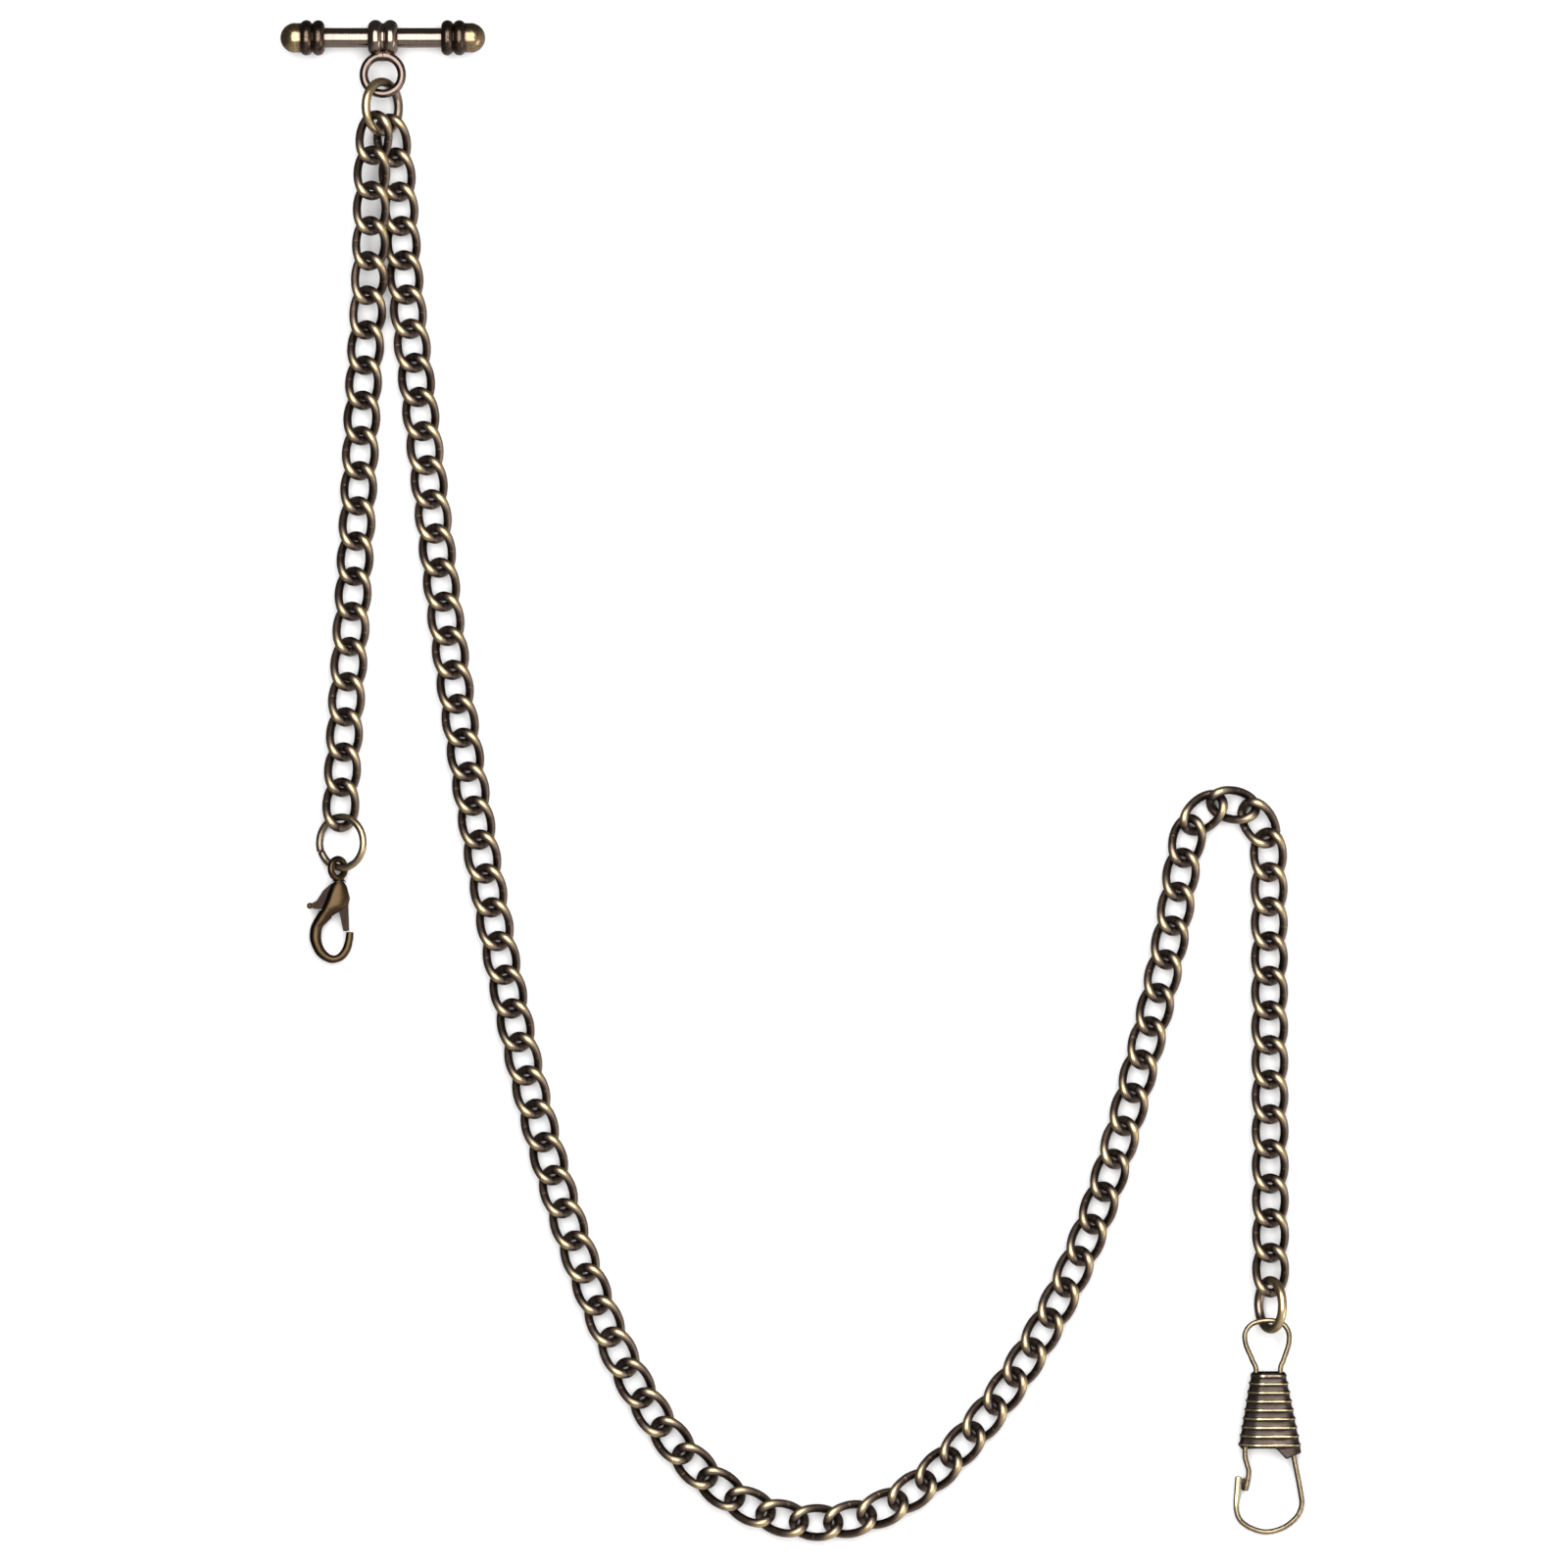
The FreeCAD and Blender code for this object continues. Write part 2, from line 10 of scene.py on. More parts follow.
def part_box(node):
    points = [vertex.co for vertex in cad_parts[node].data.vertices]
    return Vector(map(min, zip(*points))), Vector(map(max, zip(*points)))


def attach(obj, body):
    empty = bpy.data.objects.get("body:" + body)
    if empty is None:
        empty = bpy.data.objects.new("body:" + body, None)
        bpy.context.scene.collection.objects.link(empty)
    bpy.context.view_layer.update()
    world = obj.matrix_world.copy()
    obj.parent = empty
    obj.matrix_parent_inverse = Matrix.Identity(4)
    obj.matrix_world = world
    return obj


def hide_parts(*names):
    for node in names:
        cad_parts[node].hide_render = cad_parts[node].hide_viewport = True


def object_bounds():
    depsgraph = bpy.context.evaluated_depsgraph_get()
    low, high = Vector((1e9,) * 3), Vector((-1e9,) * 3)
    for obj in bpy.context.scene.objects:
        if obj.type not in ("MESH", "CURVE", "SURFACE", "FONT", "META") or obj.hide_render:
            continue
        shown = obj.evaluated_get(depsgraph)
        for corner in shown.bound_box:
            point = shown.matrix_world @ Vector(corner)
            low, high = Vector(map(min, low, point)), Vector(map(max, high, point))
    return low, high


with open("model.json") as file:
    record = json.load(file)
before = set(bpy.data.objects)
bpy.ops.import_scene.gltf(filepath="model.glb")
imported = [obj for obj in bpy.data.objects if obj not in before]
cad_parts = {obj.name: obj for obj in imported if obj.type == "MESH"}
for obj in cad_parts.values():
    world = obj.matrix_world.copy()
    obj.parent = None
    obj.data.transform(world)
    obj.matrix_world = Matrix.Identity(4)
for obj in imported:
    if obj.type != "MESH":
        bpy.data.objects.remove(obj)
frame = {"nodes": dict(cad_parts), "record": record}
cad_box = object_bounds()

# A pocket watch chain of antique brass, seen from straight above on a pale floor.
# Shapes are worked out in millimetres and written to meshes in metres.

MM = 0.001
scene = bpy.context.scene
joint_nodes = frame["nodes"]
body_of_node = {node: body for body, members in frame["record"]["behaviour"]["bodies"].items()
                for node in members}


def node_box(name):
    """Lowest and highest corner of a CAD node, in millimetres."""
    low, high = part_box(name)
    return np.array(low) / MM, np.array(high) / MM


def middle(name):
    low, high = node_box(name)
    return (low + high) / 2


# ---------------------------------------------------------------- camera

VIEW_CENTRE = (-1.04, -0.40)
VIEW_WIDTH = 184.0
CAMERA_HEIGHT = 1600.0
SENSOR = 36.0

camera_data = bpy.data.cameras.new("camera")
camera_data.sensor_width = SENSOR
camera_data.lens = SENSOR * CAMERA_HEIGHT / VIEW_WIDTH
camera_data.clip_start = 0.01
camera_data.clip_end = 20.0
camera = bpy.data.objects.new("camera", camera_data)
camera.location = (VIEW_CENTRE[0] * MM, VIEW_CENTRE[1] * MM, CAMERA_HEIGHT * MM)
scene.collection.objects.link(camera)
scene.camera = camera

# ---------------------------------------------------------------- materials


# Noise scales, in cycles per metre of the object or of the drawn wire.
BLOTCH_SCALE = 420
FINE_SCALE = 2600
STREAK_SCALE = 5200
PIT_SCALE = 5200
STREAK_STRETCH = 0.04
PIT_EDGE = 0.56
PIT_STEEPNESS = 9.0
BUMP_DEPTH = 0.02


def antique_brass(name, stops, rough_dark, rough_bright, coat=0.0, grain=0.5, specks=0.0, streaks=0.35,
                  blotches=0.35):
    """Brass with a dark patina.

    The first mesh attribute says how much a spot has been rubbed bright, mixed with painted shade in hollows
    and between parts and painted light on some faces; 'flow' says how far along the wire it lies. The colour
    stops run from blackened to bright.
    """
    material = bpy.data.materials.new(name)
    material.use_nodes = True
    tree = material.node_tree
    tree.nodes.clear()
    new = tree.nodes.new
    link = tree.links.new

    wear_and_painted_light = new("ShaderNodeAttribute")
    wear_and_painted_light.attribute_name = "wear_and_painted_light"
    flow = new("ShaderNodeAttribute")
    flow.attribute_name = "flow"
    place = new("ShaderNodeTexCoord")

    def noise(vector, scale, detail, roughness):
        texture = new("ShaderNodeTexNoise")
        texture.inputs["Scale"].default_value = scale
        texture.inputs["Detail"].default_value = detail
        texture.inputs["Roughness"].default_value = roughness
        link(vector, texture.inputs["Vector"])
        return texture.outputs["Fac"]

    def math_node(operation, first, second, clamp=False):
        node = new("ShaderNodeMath")
        node.operation = operation
        node.use_clamp = clamp
        for slot_index, value in enumerate((first, second)):
            if isinstance(value, (int, float)):
                node.inputs[slot_index].default_value = value
            else:
                link(value, node.inputs[slot_index])
        return node.outputs[0]

    def centred(value, amount):
        return math_node("MULTIPLY", math_node("SUBTRACT", value, 0.5), amount)

    stretch = new("ShaderNodeVectorMath")
    stretch.operation = "MULTIPLY"
    stretch.inputs[1].default_value = (STREAK_STRETCH, 1.0, 1.0)
    link(flow.outputs["Vector"], stretch.inputs[0])

    blotch = noise(place.outputs["Object"], BLOTCH_SCALE, 3, 0.6)
    fine = noise(place.outputs["Object"], FINE_SCALE, 4, 0.65)
    streak = noise(stretch.outputs[0], STREAK_SCALE, 3, 0.6)
    pits = noise(place.outputs["Object"], PIT_SCALE, 2, 0.5)

    mask = math_node("ADD", wear_and_painted_light.outputs["Fac"], centred(blotch, blotches))
    mask = math_node("ADD", mask, centred(fine, grain * 0.4))
    mask = math_node("ADD", mask, centred(streak, streaks))
    if specks:
        dots = math_node("MULTIPLY", math_node("SUBTRACT", pits, PIT_EDGE), PIT_STEEPNESS, True)
        mask = math_node("SUBTRACT", mask, math_node("MULTIPLY", dots, specks))
    mask = math_node("ADD", mask, 0.0, True)

    ramp = new("ShaderNodeValToRGB")
    elements = ramp.color_ramp.elements
    while len(elements) < len(stops):
        elements.new(0.5)
    for element, (position, colour) in zip(elements, stops):
        element.position = position
        element.color = (*colour, 1.0)
    link(mask, ramp.inputs["Fac"])

    rough = new("ShaderNodeMapRange")
    rough.inputs["To Min"].default_value = rough_dark
    rough.inputs["To Max"].default_value = rough_bright
    link(mask, rough.inputs["Value"])
    rough_varied = math_node("ADD", rough.outputs[0], centred(fine, 0.14), True)

    height = math_node("ADD", math_node("MULTIPLY", streak, 0.55), math_node("MULTIPLY", fine, 0.75))
    bump = new("ShaderNodeBump")
    bump.inputs["Strength"].default_value = grain
    bump.inputs["Distance"].default_value = BUMP_DEPTH * MM
    link(height, bump.inputs["Height"])

    shader = new("ShaderNodeBsdfPrincipled")
    link(ramp.outputs["Color"], shader.inputs["Base Color"])
    link(rough_varied, shader.inputs["Roughness"])
    link(bump.outputs["Normal"], shader.inputs["Normal"])
    shader.inputs["Metallic"].default_value = 1.0
    shader.inputs["Coat Weight"].default_value = coat
    shader.inputs["Coat Roughness"].default_value = 0.12
    output = new("ShaderNodeOutputMaterial")
    link(shader.outputs[0], output.inputs["Surface"])
    return material


BLACKENED = (0.020, 0.014, 0.011)
UMBER = (0.075, 0.052, 0.040)
TAUPE = (0.205, 0.160, 0.125)
OLD_GOLD = (0.520, 0.400, 0.215)
PALE_GOLD = (0.800, 0.680, 0.430)

chain_brass = antique_brass(
    "chain_brass", [(0.05, BLACKENED), (0.28, UMBER), (0.52, TAUPE), (0.82, OLD_GOLD),
                    (1.0, (0.70, 0.58, 0.36))],
    0.46, 0.34, grain=0.55, streaks=0.30, blotches=0.28)
ring_brass = antique_brass(
    "ring_brass", [(0.05, BLACKENED), (0.30, UMBER), (0.52, TAUPE), (0.82, OLD_GOLD), (1.0, PALE_GOLD)],
    0.36, 0.28, grain=0.45, streaks=0.35, blotches=0.45)
bar_brass = antique_brass(
    "bar_brass", [(0.05, BLACKENED), (0.30, (0.060, 0.038, 0.030)), (0.60, (0.20, 0.155, 0.125)),
                  (0.85, (0.36, 0.29, 0.19)), (1.0, PALE_GOLD)],
    0.24, 0.13, coat=0.35, grain=0.18, streaks=0.18, blotches=0.22)
dome_brass = antique_brass(
    "dome_brass", [(0.05, BLACKENED), (0.35, (0.070, 0.046, 0.032)), (0.62, (0.20, 0.145, 0.085)),
                   (0.85, (0.40, 0.30, 0.15)), (1.0, (0.66, 0.54, 0.30))],
    0.30, 0.24, coat=0.2, grain=0.35, specks=0.35, streaks=0.2, blotches=0.45)
clasp_brass = antique_brass(
    "clasp_brass", [(0.05, (0.010, 0.007, 0.006)), (0.30, (0.022, 0.015, 0.011)),
                    (0.60, (0.062, 0.040, 0.020)), (0.85, (0.17, 0.112, 0.050)), (1.0, (0.52, 0.40, 0.21))],
    0.38, 0.32, grain=0.45, streaks=0.2, blotches=0.35)
sleeve_brass = antique_brass(
    "sleeve_brass", [(0.05, (0.014, 0.011, 0.010)), (0.35, (0.044, 0.034, 0.029)),
                     (0.64, (0.105, 0.085, 0.070)), (0.80, (0.45, 0.36, 0.20)), (1.0, (0.82, 0.71, 0.45))],
    0.36, 0.24, grain=0.40, streaks=0.22, blotches=0.25)
wire_brass = antique_brass(
    "wire_brass", [(0.05, (0.026, 0.019, 0.014)), (0.30, (0.10, 0.075, 0.050)), (0.55, (0.25, 0.195, 0.12)),
                   (0.80, (0.44, 0.36, 0.20)), (1.0, (0.72, 0.63, 0.38))],
    0.36, 0.26, grain=0.45, specks=0.3, streaks=0.40, blotches=0.45)
spring_steel = antique_brass(
    "spring_steel", [(0.1, (0.10, 0.10, 0.10)), (0.9, (0.46, 0.46, 0.48))], 0.4, 0.28, grain=0.3)

# ---------------------------------------------------------------- mesh helpers

RAYS = 20
GOLDEN_ANGLE = math.pi * (3 - math.sqrt(5))
RAY_START = 0.01


def hemisphere():
    """Directions of a cosine-weighted hemisphere about +Z."""
    rows = []
    for index in range(RAYS):
        share = (index + 0.5) / RAYS
        flat = math.sqrt(share)
        turn = index * GOLDEN_ANGLE
        rows.append((flat * math.cos(turn), flat * math.sin(turn), math.sqrt(1 - share)))
    return np.array(rows)


SKY = hemisphere()


def exposure(points, normals, obstacles, reach):
    """How open the surface is at each point, from 0 in a crevice to 1 on a free face."""
    verts = []
    faces = []
    for part_verts, part_faces in obstacles:
        start = len(verts)
        verts.extend(part_verts.tolist())
        faces.extend([tuple(index + start for index in face) for face in part_faces])
    tree = BVHTree.FromPolygons(verts, faces)
    helper = np.where(np.abs(normals[:, :1]) < 0.9, np.array([[1.0, 0, 0]]), np.array([[0, 1.0, 0]]))
    side = np.cross(normals, helper)
    side /= np.linalg.norm(side, axis=1)[:, None]
    other = np.cross(normals, side)
    result = np.zeros(len(points))
    for index, point in enumerate(points):
        directions = SKY[:, :1] * side[index] + SKY[:, 1:2] * other[index] + SKY[:, 2:] * normals[index]
        origin = Vector(point + normals[index] * RAY_START)
        free = 0.0
        for direction in directions:
            hit = tree.ray_cast(origin, Vector(direction), reach)
            free += 1.0 if hit[3] is None else hit[3] / reach
        result[index] = free / RAYS
    return result


def vertex_normals(verts, faces):
    """Smooth normals, as Blender works them out."""
    mesh = bpy.data.meshes.new("normals")
    mesh.from_pydata(verts.tolist(), [], faces)
    mesh.update()
    values = np.zeros(len(verts) * 3)
    mesh.vertices.foreach_get("normal", values)
    bpy.data.meshes.remove(mesh)
    return values.reshape(-1, 3)


def facing_out(verts, faces):
    """The same faces, turned if needed so that a closed form encloses a positive volume."""
    volume = 0.0
    for face in faces:
        first = verts[face[0]]
        for second, third in zip(face[1:-1], face[2:]):
            volume += np.dot(first, np.cross(verts[second], verts[third]))
    return faces if volume > 0 else [tuple(reversed(face)) for face in faces]


def grid_faces(rows, columns, wrap_rows=False):
    """Quads of a grid of vertices stored row by row, each row a closed loop."""
    faces = []
    for row in range(rows if wrap_rows else rows - 1):
        upper = (row + 1) % rows
        for column in range(columns):
            beside = (column + 1) % columns
            faces.append((row * columns + column, row * columns + beside,
                          upper * columns + beside, upper * columns + column))
    return faces


def catmull(points, steps):
    """A smooth open line through points, with the same number of steps between each two."""
    points = np.array(points, float)
    count = len(points)
    rows = []
    for index in range(count - 1):
        start, end = points[index], points[index + 1]
        before = points[index - 1] if index else 2 * start - end
        after = points[index + 2] if index + 2 < count else 2 * end - start
        for step in range(steps):
            t = step / steps
            rows.append(0.5 * (2 * start + (end - before) * t
                               + (2 * before - 5 * start + 4 * end - after) * t ** 2
                               + (3 * start - before - 3 * end + after) * t ** 3))
    rows.append(points[-1])
    return np.array(rows)


def even(points, spacing):
    """The same line with evenly spaced points."""
    lengths = np.concatenate([[0], np.cumsum(np.linalg.norm(np.diff(points, axis=0), axis=1))])
    count = max(2, int(round(lengths[-1] / spacing)) + 1)
    targets = np.linspace(0, lengths[-1], count)
    return np.stack([np.interp(targets, lengths, points[:, axis]) for axis in range(points.shape[1])], axis=1)


def frames_along(path, closed, up):
    """Tangent and two cross directions at each point, held to 'up' or else turning as little as they can."""
    if closed:
        tangents = np.roll(path, -1, axis=0) - np.roll(path, 1, axis=0)
    else:
        tangents = np.gradient(path, axis=0)
    tangents /= np.linalg.norm(tangents, axis=1)[:, None]
    if up is not None:
        side = np.cross(tangents, np.array(up, float))
        side /= np.linalg.norm(side, axis=1)[:, None]
        return tangents, side, np.cross(side, tangents)
    side = np.zeros_like(path)
    start = np.cross(tangents[0], (0, 0, 1.0))
    if np.linalg.norm(start) < 0.1:
        start = np.cross(tangents[0], (0, 1.0, 0))
    side[0] = start / np.linalg.norm(start)
    for index in range(1, len(path)):
        moved = side[index - 1] - tangents[index] * np.dot(side[index - 1], tangents[index])
        side[index] = moved / np.linalg.norm(moved)
    if closed:
        back = side[-1] - tangents[0] * np.dot(side[-1], tangents[0])
        back /= np.linalg.norm(back)
        lag = math.atan2(np.dot(np.cross(back, side[0]), tangents[0]), np.dot(back, side[0]))
        other = np.cross(side, tangents)
        turns = lag * np.arange(len(path)) / len(path)
        side = side * np.cos(turns)[:, None] - other * np.sin(turns)[:, None]
    return tangents, side, np.cross(side, tangents)


END_TURNS = (12, 30, 55, 80)


def swept(path, wide, deep=None, closed=False, around=20, up=None, rounding=0.35):
    """A wire: an oval carried along a path, with softly rounded ends when it is open."""
    count = len(path)
    wide = np.broadcast_to(wide, count).astype(float)
    deep = wide if deep is None else np.broadcast_to(deep, count).astype(float)
    tangents, side, other = frames_along(path, closed, up)
    travelled = np.concatenate([[0], np.cumsum(np.linalg.norm(np.diff(path, axis=0), axis=1))])
    rings = []
    if not closed:
        for turn in reversed(END_TURNS):
            rings.append((0, -rounding * wide[0] * math.sin(math.radians(turn)), math.cos(math.radians(turn))))
    rings += [(index, 0.0, 1.0) for index in range(count)]
    if not closed:
        for turn in END_TURNS:
            rings.append((count - 1, rounding * wide[-1] * math.sin(math.radians(turn)),
                          math.cos(math.radians(turn))))
    angles = np.arange(around) * 2 * math.pi / around
    cosines, sines = np.cos(angles)[:, None], np.sin(angles)[:, None]
    verts = []
    flow = []
    for index, shift, shrink in rings:
        centre = path[index] + tangents[index] * shift
        verts.append(centre + shrink * (wide[index] * cosines * side[index]
                                        + deep[index] * sines * other[index]))
        flow.append(np.hstack([np.full((around, 1), travelled[index] + shift), shrink * wide[index] * cosines,
                               shrink * wide[index] * sines]))
    faces = grid_faces(len(rings), around, wrap_rows=closed)
    verts = np.vstack(verts)
    flow = np.vstack(flow)
    if not closed:
        faces.append(tuple(reversed(range(around))))
        faces.append(tuple(range((len(rings) - 1) * around, len(rings) * around)))
    return verts, facing_out(verts, faces), flow


def turned(radius_at, positions, around=96):
    """A lathe form about X, closed to a point at both ends."""
    angles = np.arange(around) * 2 * math.pi / around
    rows = []
    flow = []
    for position in positions:
        radius = radius_at(position)
        here = np.full(around, position)
        rows.append(np.stack([here, radius * np.cos(angles), radius * np.sin(angles)], axis=1))
        flow.append(np.stack([radius * angles * 0.5, here, np.full(around, radius)], axis=1))
    faces = grid_faces(len(rows), around)
    faces.append(tuple(reversed(range(around))))
    faces.append(tuple(range((len(rows) - 1) * around, len(rows) * around)))
    verts = np.vstack(rows)
    return verts, facing_out(verts, faces), np.vstack(flow)


def smooth_step(value, low, high):
    """0 below 'low', 1 above 'high' and smooth between."""
    share = np.clip((value - low) / (high - low), 0, 1)
    return share * share * (3 - 2 * share)


def set_attributes(mesh, wear_and_painted_light, flow):
    layer = mesh.attributes.new("wear_and_painted_light", "FLOAT", "POINT")
    layer.data.foreach_set("value", np.asarray(wear_and_painted_light, np.float32))
    layer = mesh.attributes.new("flow", "FLOAT_VECTOR", "POINT")
    layer.data.foreach_set("vector", (np.asarray(flow) * MM).astype(np.float32).ravel())


def piece(name, nodes, material, verts, faces, wear_and_painted_light, flow):
    """A finished piece that stands for CAD nodes and rides on their body."""
    mesh = bpy.data.meshes.new(name)
    mesh.from_pydata((verts * MM).tolist(), [], faces)
    mesh.update()
    mesh.shade_smooth()
    set_attributes(mesh, wear_and_painted_light, flow)
    mesh.materials.append(material)
    item = bpy.data.objects.new(name, mesh)
    scene.collection.objects.link(item)
    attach(item, body_of_node[nodes[0]])
    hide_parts(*nodes)
    return item


# ---------------------------------------------------------------- chain links

LINK_HALF_WIDTH = 1.68
LINK_HALF_LENGTH = 2.68
LINK_SHOULDER = 0.48
LINK_TWIST = math.radians(50)
LINK_WIRE = 0.49
LINK_END_WIRE = 0.55
LINK_STEPS = 72
LINK_AROUND = 18
LINK_PITCH = 4.05
LINK_REACH = 2.2
SEAM_STEP = 0.012
SEAM_DEPTH = 0.93
TONE_SPREAD = 0.035
STREAK_SHIFT = 60


def link_line(angles):
    """Centre line of a curb link: an oval with shoulders, twisted from end to end."""
    across = LINK_HALF_WIDTH * np.cos(angles) * (1 + LINK_SHOULDER * np.sin(angles) ** 2)
    twist = LINK_TWIST * np.sin(angles)
    along = LINK_HALF_LENGTH * np.sin(angles)
    return np.stack([across * np.cos(twist), along, across * np.sin(twist)], axis=1)


def link_mesh():
    """One curb link, with a fine closed seam half way along its right side."""
    angles = np.linspace(0, 2 * math.pi, LINK_STEPS, endpoint=False)
    seam = [0.0, SEAM_STEP, 2 * SEAM_STEP, -SEAM_STEP + 2 * math.pi]
    angles = np.sort(np.concatenate([angles[1:], seam]))
    radii = LINK_WIRE + (LINK_END_WIRE - LINK_WIRE) * smooth_step(np.abs(np.sin(angles)), 0.45, 0.95)
    radii[0] = LINK_WIRE * SEAM_DEPTH
    return swept(link_line(angles), radii, closed=True, around=LINK_AROUND)


def moved(verts, matrix):
    return verts @ matrix[:, :3].T + matrix[:, 3]


link_verts, link_faces, link_flow = link_mesh()
link_normals = vertex_normals(link_verts, link_faces)
neighbours = []
for shift in (-1, 1):
    neighbours.append((link_verts + np.array([0, shift * LINK_PITCH, 0]), link_faces))
link_open = exposure(link_verts, link_normals, neighbours + [(link_verts, link_faces)], LINK_REACH)
crest = smooth_step(np.abs(link_verts[:, 2]) * np.sign(link_verts[:, 2] * link_normals[:, 2]), 0.55, 1.75)
outward = link_normals[:, 0] * np.sign(link_verts[:, 0])
# Painted shade with patina: the inner side of the wire is kept dark and the outer side lighter.
side_patina_and_shade = 0.10 + 0.36 * smooth_step(outward, -0.35, 0.75)
# Crests are rubbed bright; spots hemmed in by the neighbouring links are darkened, partly patina kept in the
# hollows and partly painted shade between the links.
link_wear_and_shade = (side_patina_and_shade + 0.66 * crest) * smooth_step(link_open, 0.12, 0.80)


def islands(item):
    """The separate solids of a CAD node, as arrays of triangle corners in millimetres."""
    mesh = item.data
    mesh.calc_loop_triangles()
    corners = np.zeros(len(mesh.loop_triangles) * 3, int)
    mesh.loop_triangles.foreach_get("vertices", corners)
    corners = corners.reshape(-1, 3)
    points = np.zeros(len(mesh.vertices) * 3)
    mesh.vertices.foreach_get("co", points)
    points = points.reshape(-1, 3) / MM
    _, same = np.unique(np.round(points, 4), axis=0, return_inverse=True)
    same = same.ravel()
    corners_same = same[corners]
    label = np.arange(same.max() + 1)
    while True:
        lowest = label[corners_same].min(axis=1)
        fresh = label.copy()
        for column in range(3):
            np.minimum.at(fresh, corners_same[:, column], lowest)
        fresh = fresh[fresh]
        if np.array_equal(fresh, label):
            break
        label = fresh
    groups = label[corners_same[:, 0]]
    return [points[corners[groups == group]] for group in np.unique(groups)]


def link_place(triangles):
    """Where a CAD link lies: its centre, its length, and its flat side up."""
    first, second, third = triangles[:, 0], triangles[:, 1], triangles[:, 2]
    area = np.linalg.norm(np.cross(second - first, third - first), axis=1)
    centres = triangles.mean(axis=1)
    centre = (centres * area[:, None]).sum(axis=0) / area.sum()
    spread = (centres - centre).T @ ((centres - centre) * area[:, None])
    _, directions = np.linalg.eigh(spread)
    along = directions[:, 2]
    up = directions[:, 0]
    if up[2] < 0:
        up = -up
    across = np.cross(along, up)
    return np.column_stack([across, along, up, centre])


rng = np.random.default_rng(1884)


def chain_piece(name):
    """All links of one CAD node, each a little different in tone and in where its seam is."""
    verts, faces, wear_and_painted_light, flow = [], [], [], []
    for triangles in islands(joint_nodes[name]):
        place = link_place(triangles)
        if rng.random() < 0.5:
            place[:, 0] *= -1
            place[:, 1] *= -1
        start = sum(len(part) for part in verts)
        verts.append(moved(link_verts, place))
        faces += [tuple(index + start for index in face) for face in link_faces]
        wear_and_painted_light.append(link_wear_and_shade + rng.normal(0, TONE_SPREAD))
        flow.append(link_flow + np.array([rng.uniform(0, STREAK_SHIFT), 0, 0]))
    return piece(name + "_links", [name], chain_brass, np.vstack(verts), faces,
                 np.concatenate(wear_and_painted_light), np.vstack(flow))


for node_name in sorted(joint_nodes):
    if node_name.startswith(("short_chain_", "long_chain_")) and not node_name.endswith("_end_ring"):
        chain_piece(node_name)

# ---------------------------------------------------------------- T-bar

bar_centre = middle("t_bar_rod")
ROD_RADIUS = 1.15
ROD_HALF = 8.5
COLLAR_BEAD = 0.875
COLLAR_OUTER = 2.10
COLLAR_GROOVE = 1.70
COLLAR_HALF = 1.745
KNOB_FIRST = 7.56
KNOB_PITCH = 1.40
KNOB_BEAD = 0.72
KNOB_OUTER = 2.07
KNOB_GROOVE = 1.66
KNOB_NECK = 1.72
KNOB_START = 6.845
KNOB_VALLEY = 8.26
KNOB_STEP = 9.66
DOME_RADIUS = 1.75
DOME_CENTRE = 10.25
DOME_EDGE = 9.80
CORNER_SHARPNESS = 22.0
BAR_REACH = 1.6


def bead(position, centre, half, outer):
    """Radius of one round bead of the bar."""
    inside = half ** 2 - (position - centre) ** 2
    return outer - half + math.sqrt(inside) if inside > 0 else 0.0


def soft_max(values):
    """The largest value, with the corner between two close ones filled in."""
    return math.log(sum(math.exp(CORNER_SHARPNESS * value) for value in values)) / CORNER_SHARPNESS


def collar_radius(position):
    groove = COLLAR_GROOVE if abs(position) < COLLAR_BEAD else 0.0
    return soft_max([bead(position, -COLLAR_BEAD, COLLAR_BEAD, COLLAR_OUTER),
                     bead(position, COLLAR_BEAD, COLLAR_BEAD, COLLAR_OUTER), groove])


def knob_radius(position):
    values = [bead(position, KNOB_FIRST, KNOB_BEAD, KNOB_OUTER),
              bead(position, KNOB_FIRST + KNOB_PITCH, KNOB_BEAD, KNOB_OUTER)]
    if KNOB_FIRST < position <= DOME_CENTRE:
        values.append(KNOB_GROOVE if position < KNOB_FIRST + KNOB_PITCH else KNOB_NECK)
    if position > DOME_CENTRE:
        inside = DOME_RADIUS ** 2 - (position - DOME_CENTRE) ** 2
        values.append(math.sqrt(max(inside, 0.0)))
    value = max(values)
    return value if value < 0.9 else soft_max(values)


def cosine_spaced(low, high, count):
    return low + (high - low) * (1 - np.cos(np.linspace(0, math.pi, count))) / 2


def bar_piece(name, node, material, form, others, base, gain, bead_dark=0.0):
    """One piece of the bar. 'bead_dark' is how much less its beads are rubbed than its domed end."""
    verts, faces, flow = form
    verts = verts + bar_centre
    normals = vertex_normals(verts, faces)
    openness = exposure(verts, normals, [(verts, faces)] + others, BAR_REACH)
    # Darker where hemmed in, where the rod meets the collar and knobs: patina kept in the grooves together with
    # painted shade between the parts.
    wear_and_painted_light = base + gain * smooth_step(openness, 0.25, 0.95)
    from_middle = np.abs(verts[:, 0] - bar_centre[0])
    wear_and_painted_light = wear_and_painted_light * (1 - bead_dark * smooth_step(-from_middle, -DOME_EDGE - 0.25, -DOME_EDGE + 0.25))
    return piece(name, [node], material, verts, faces, wear_and_painted_light, flow)


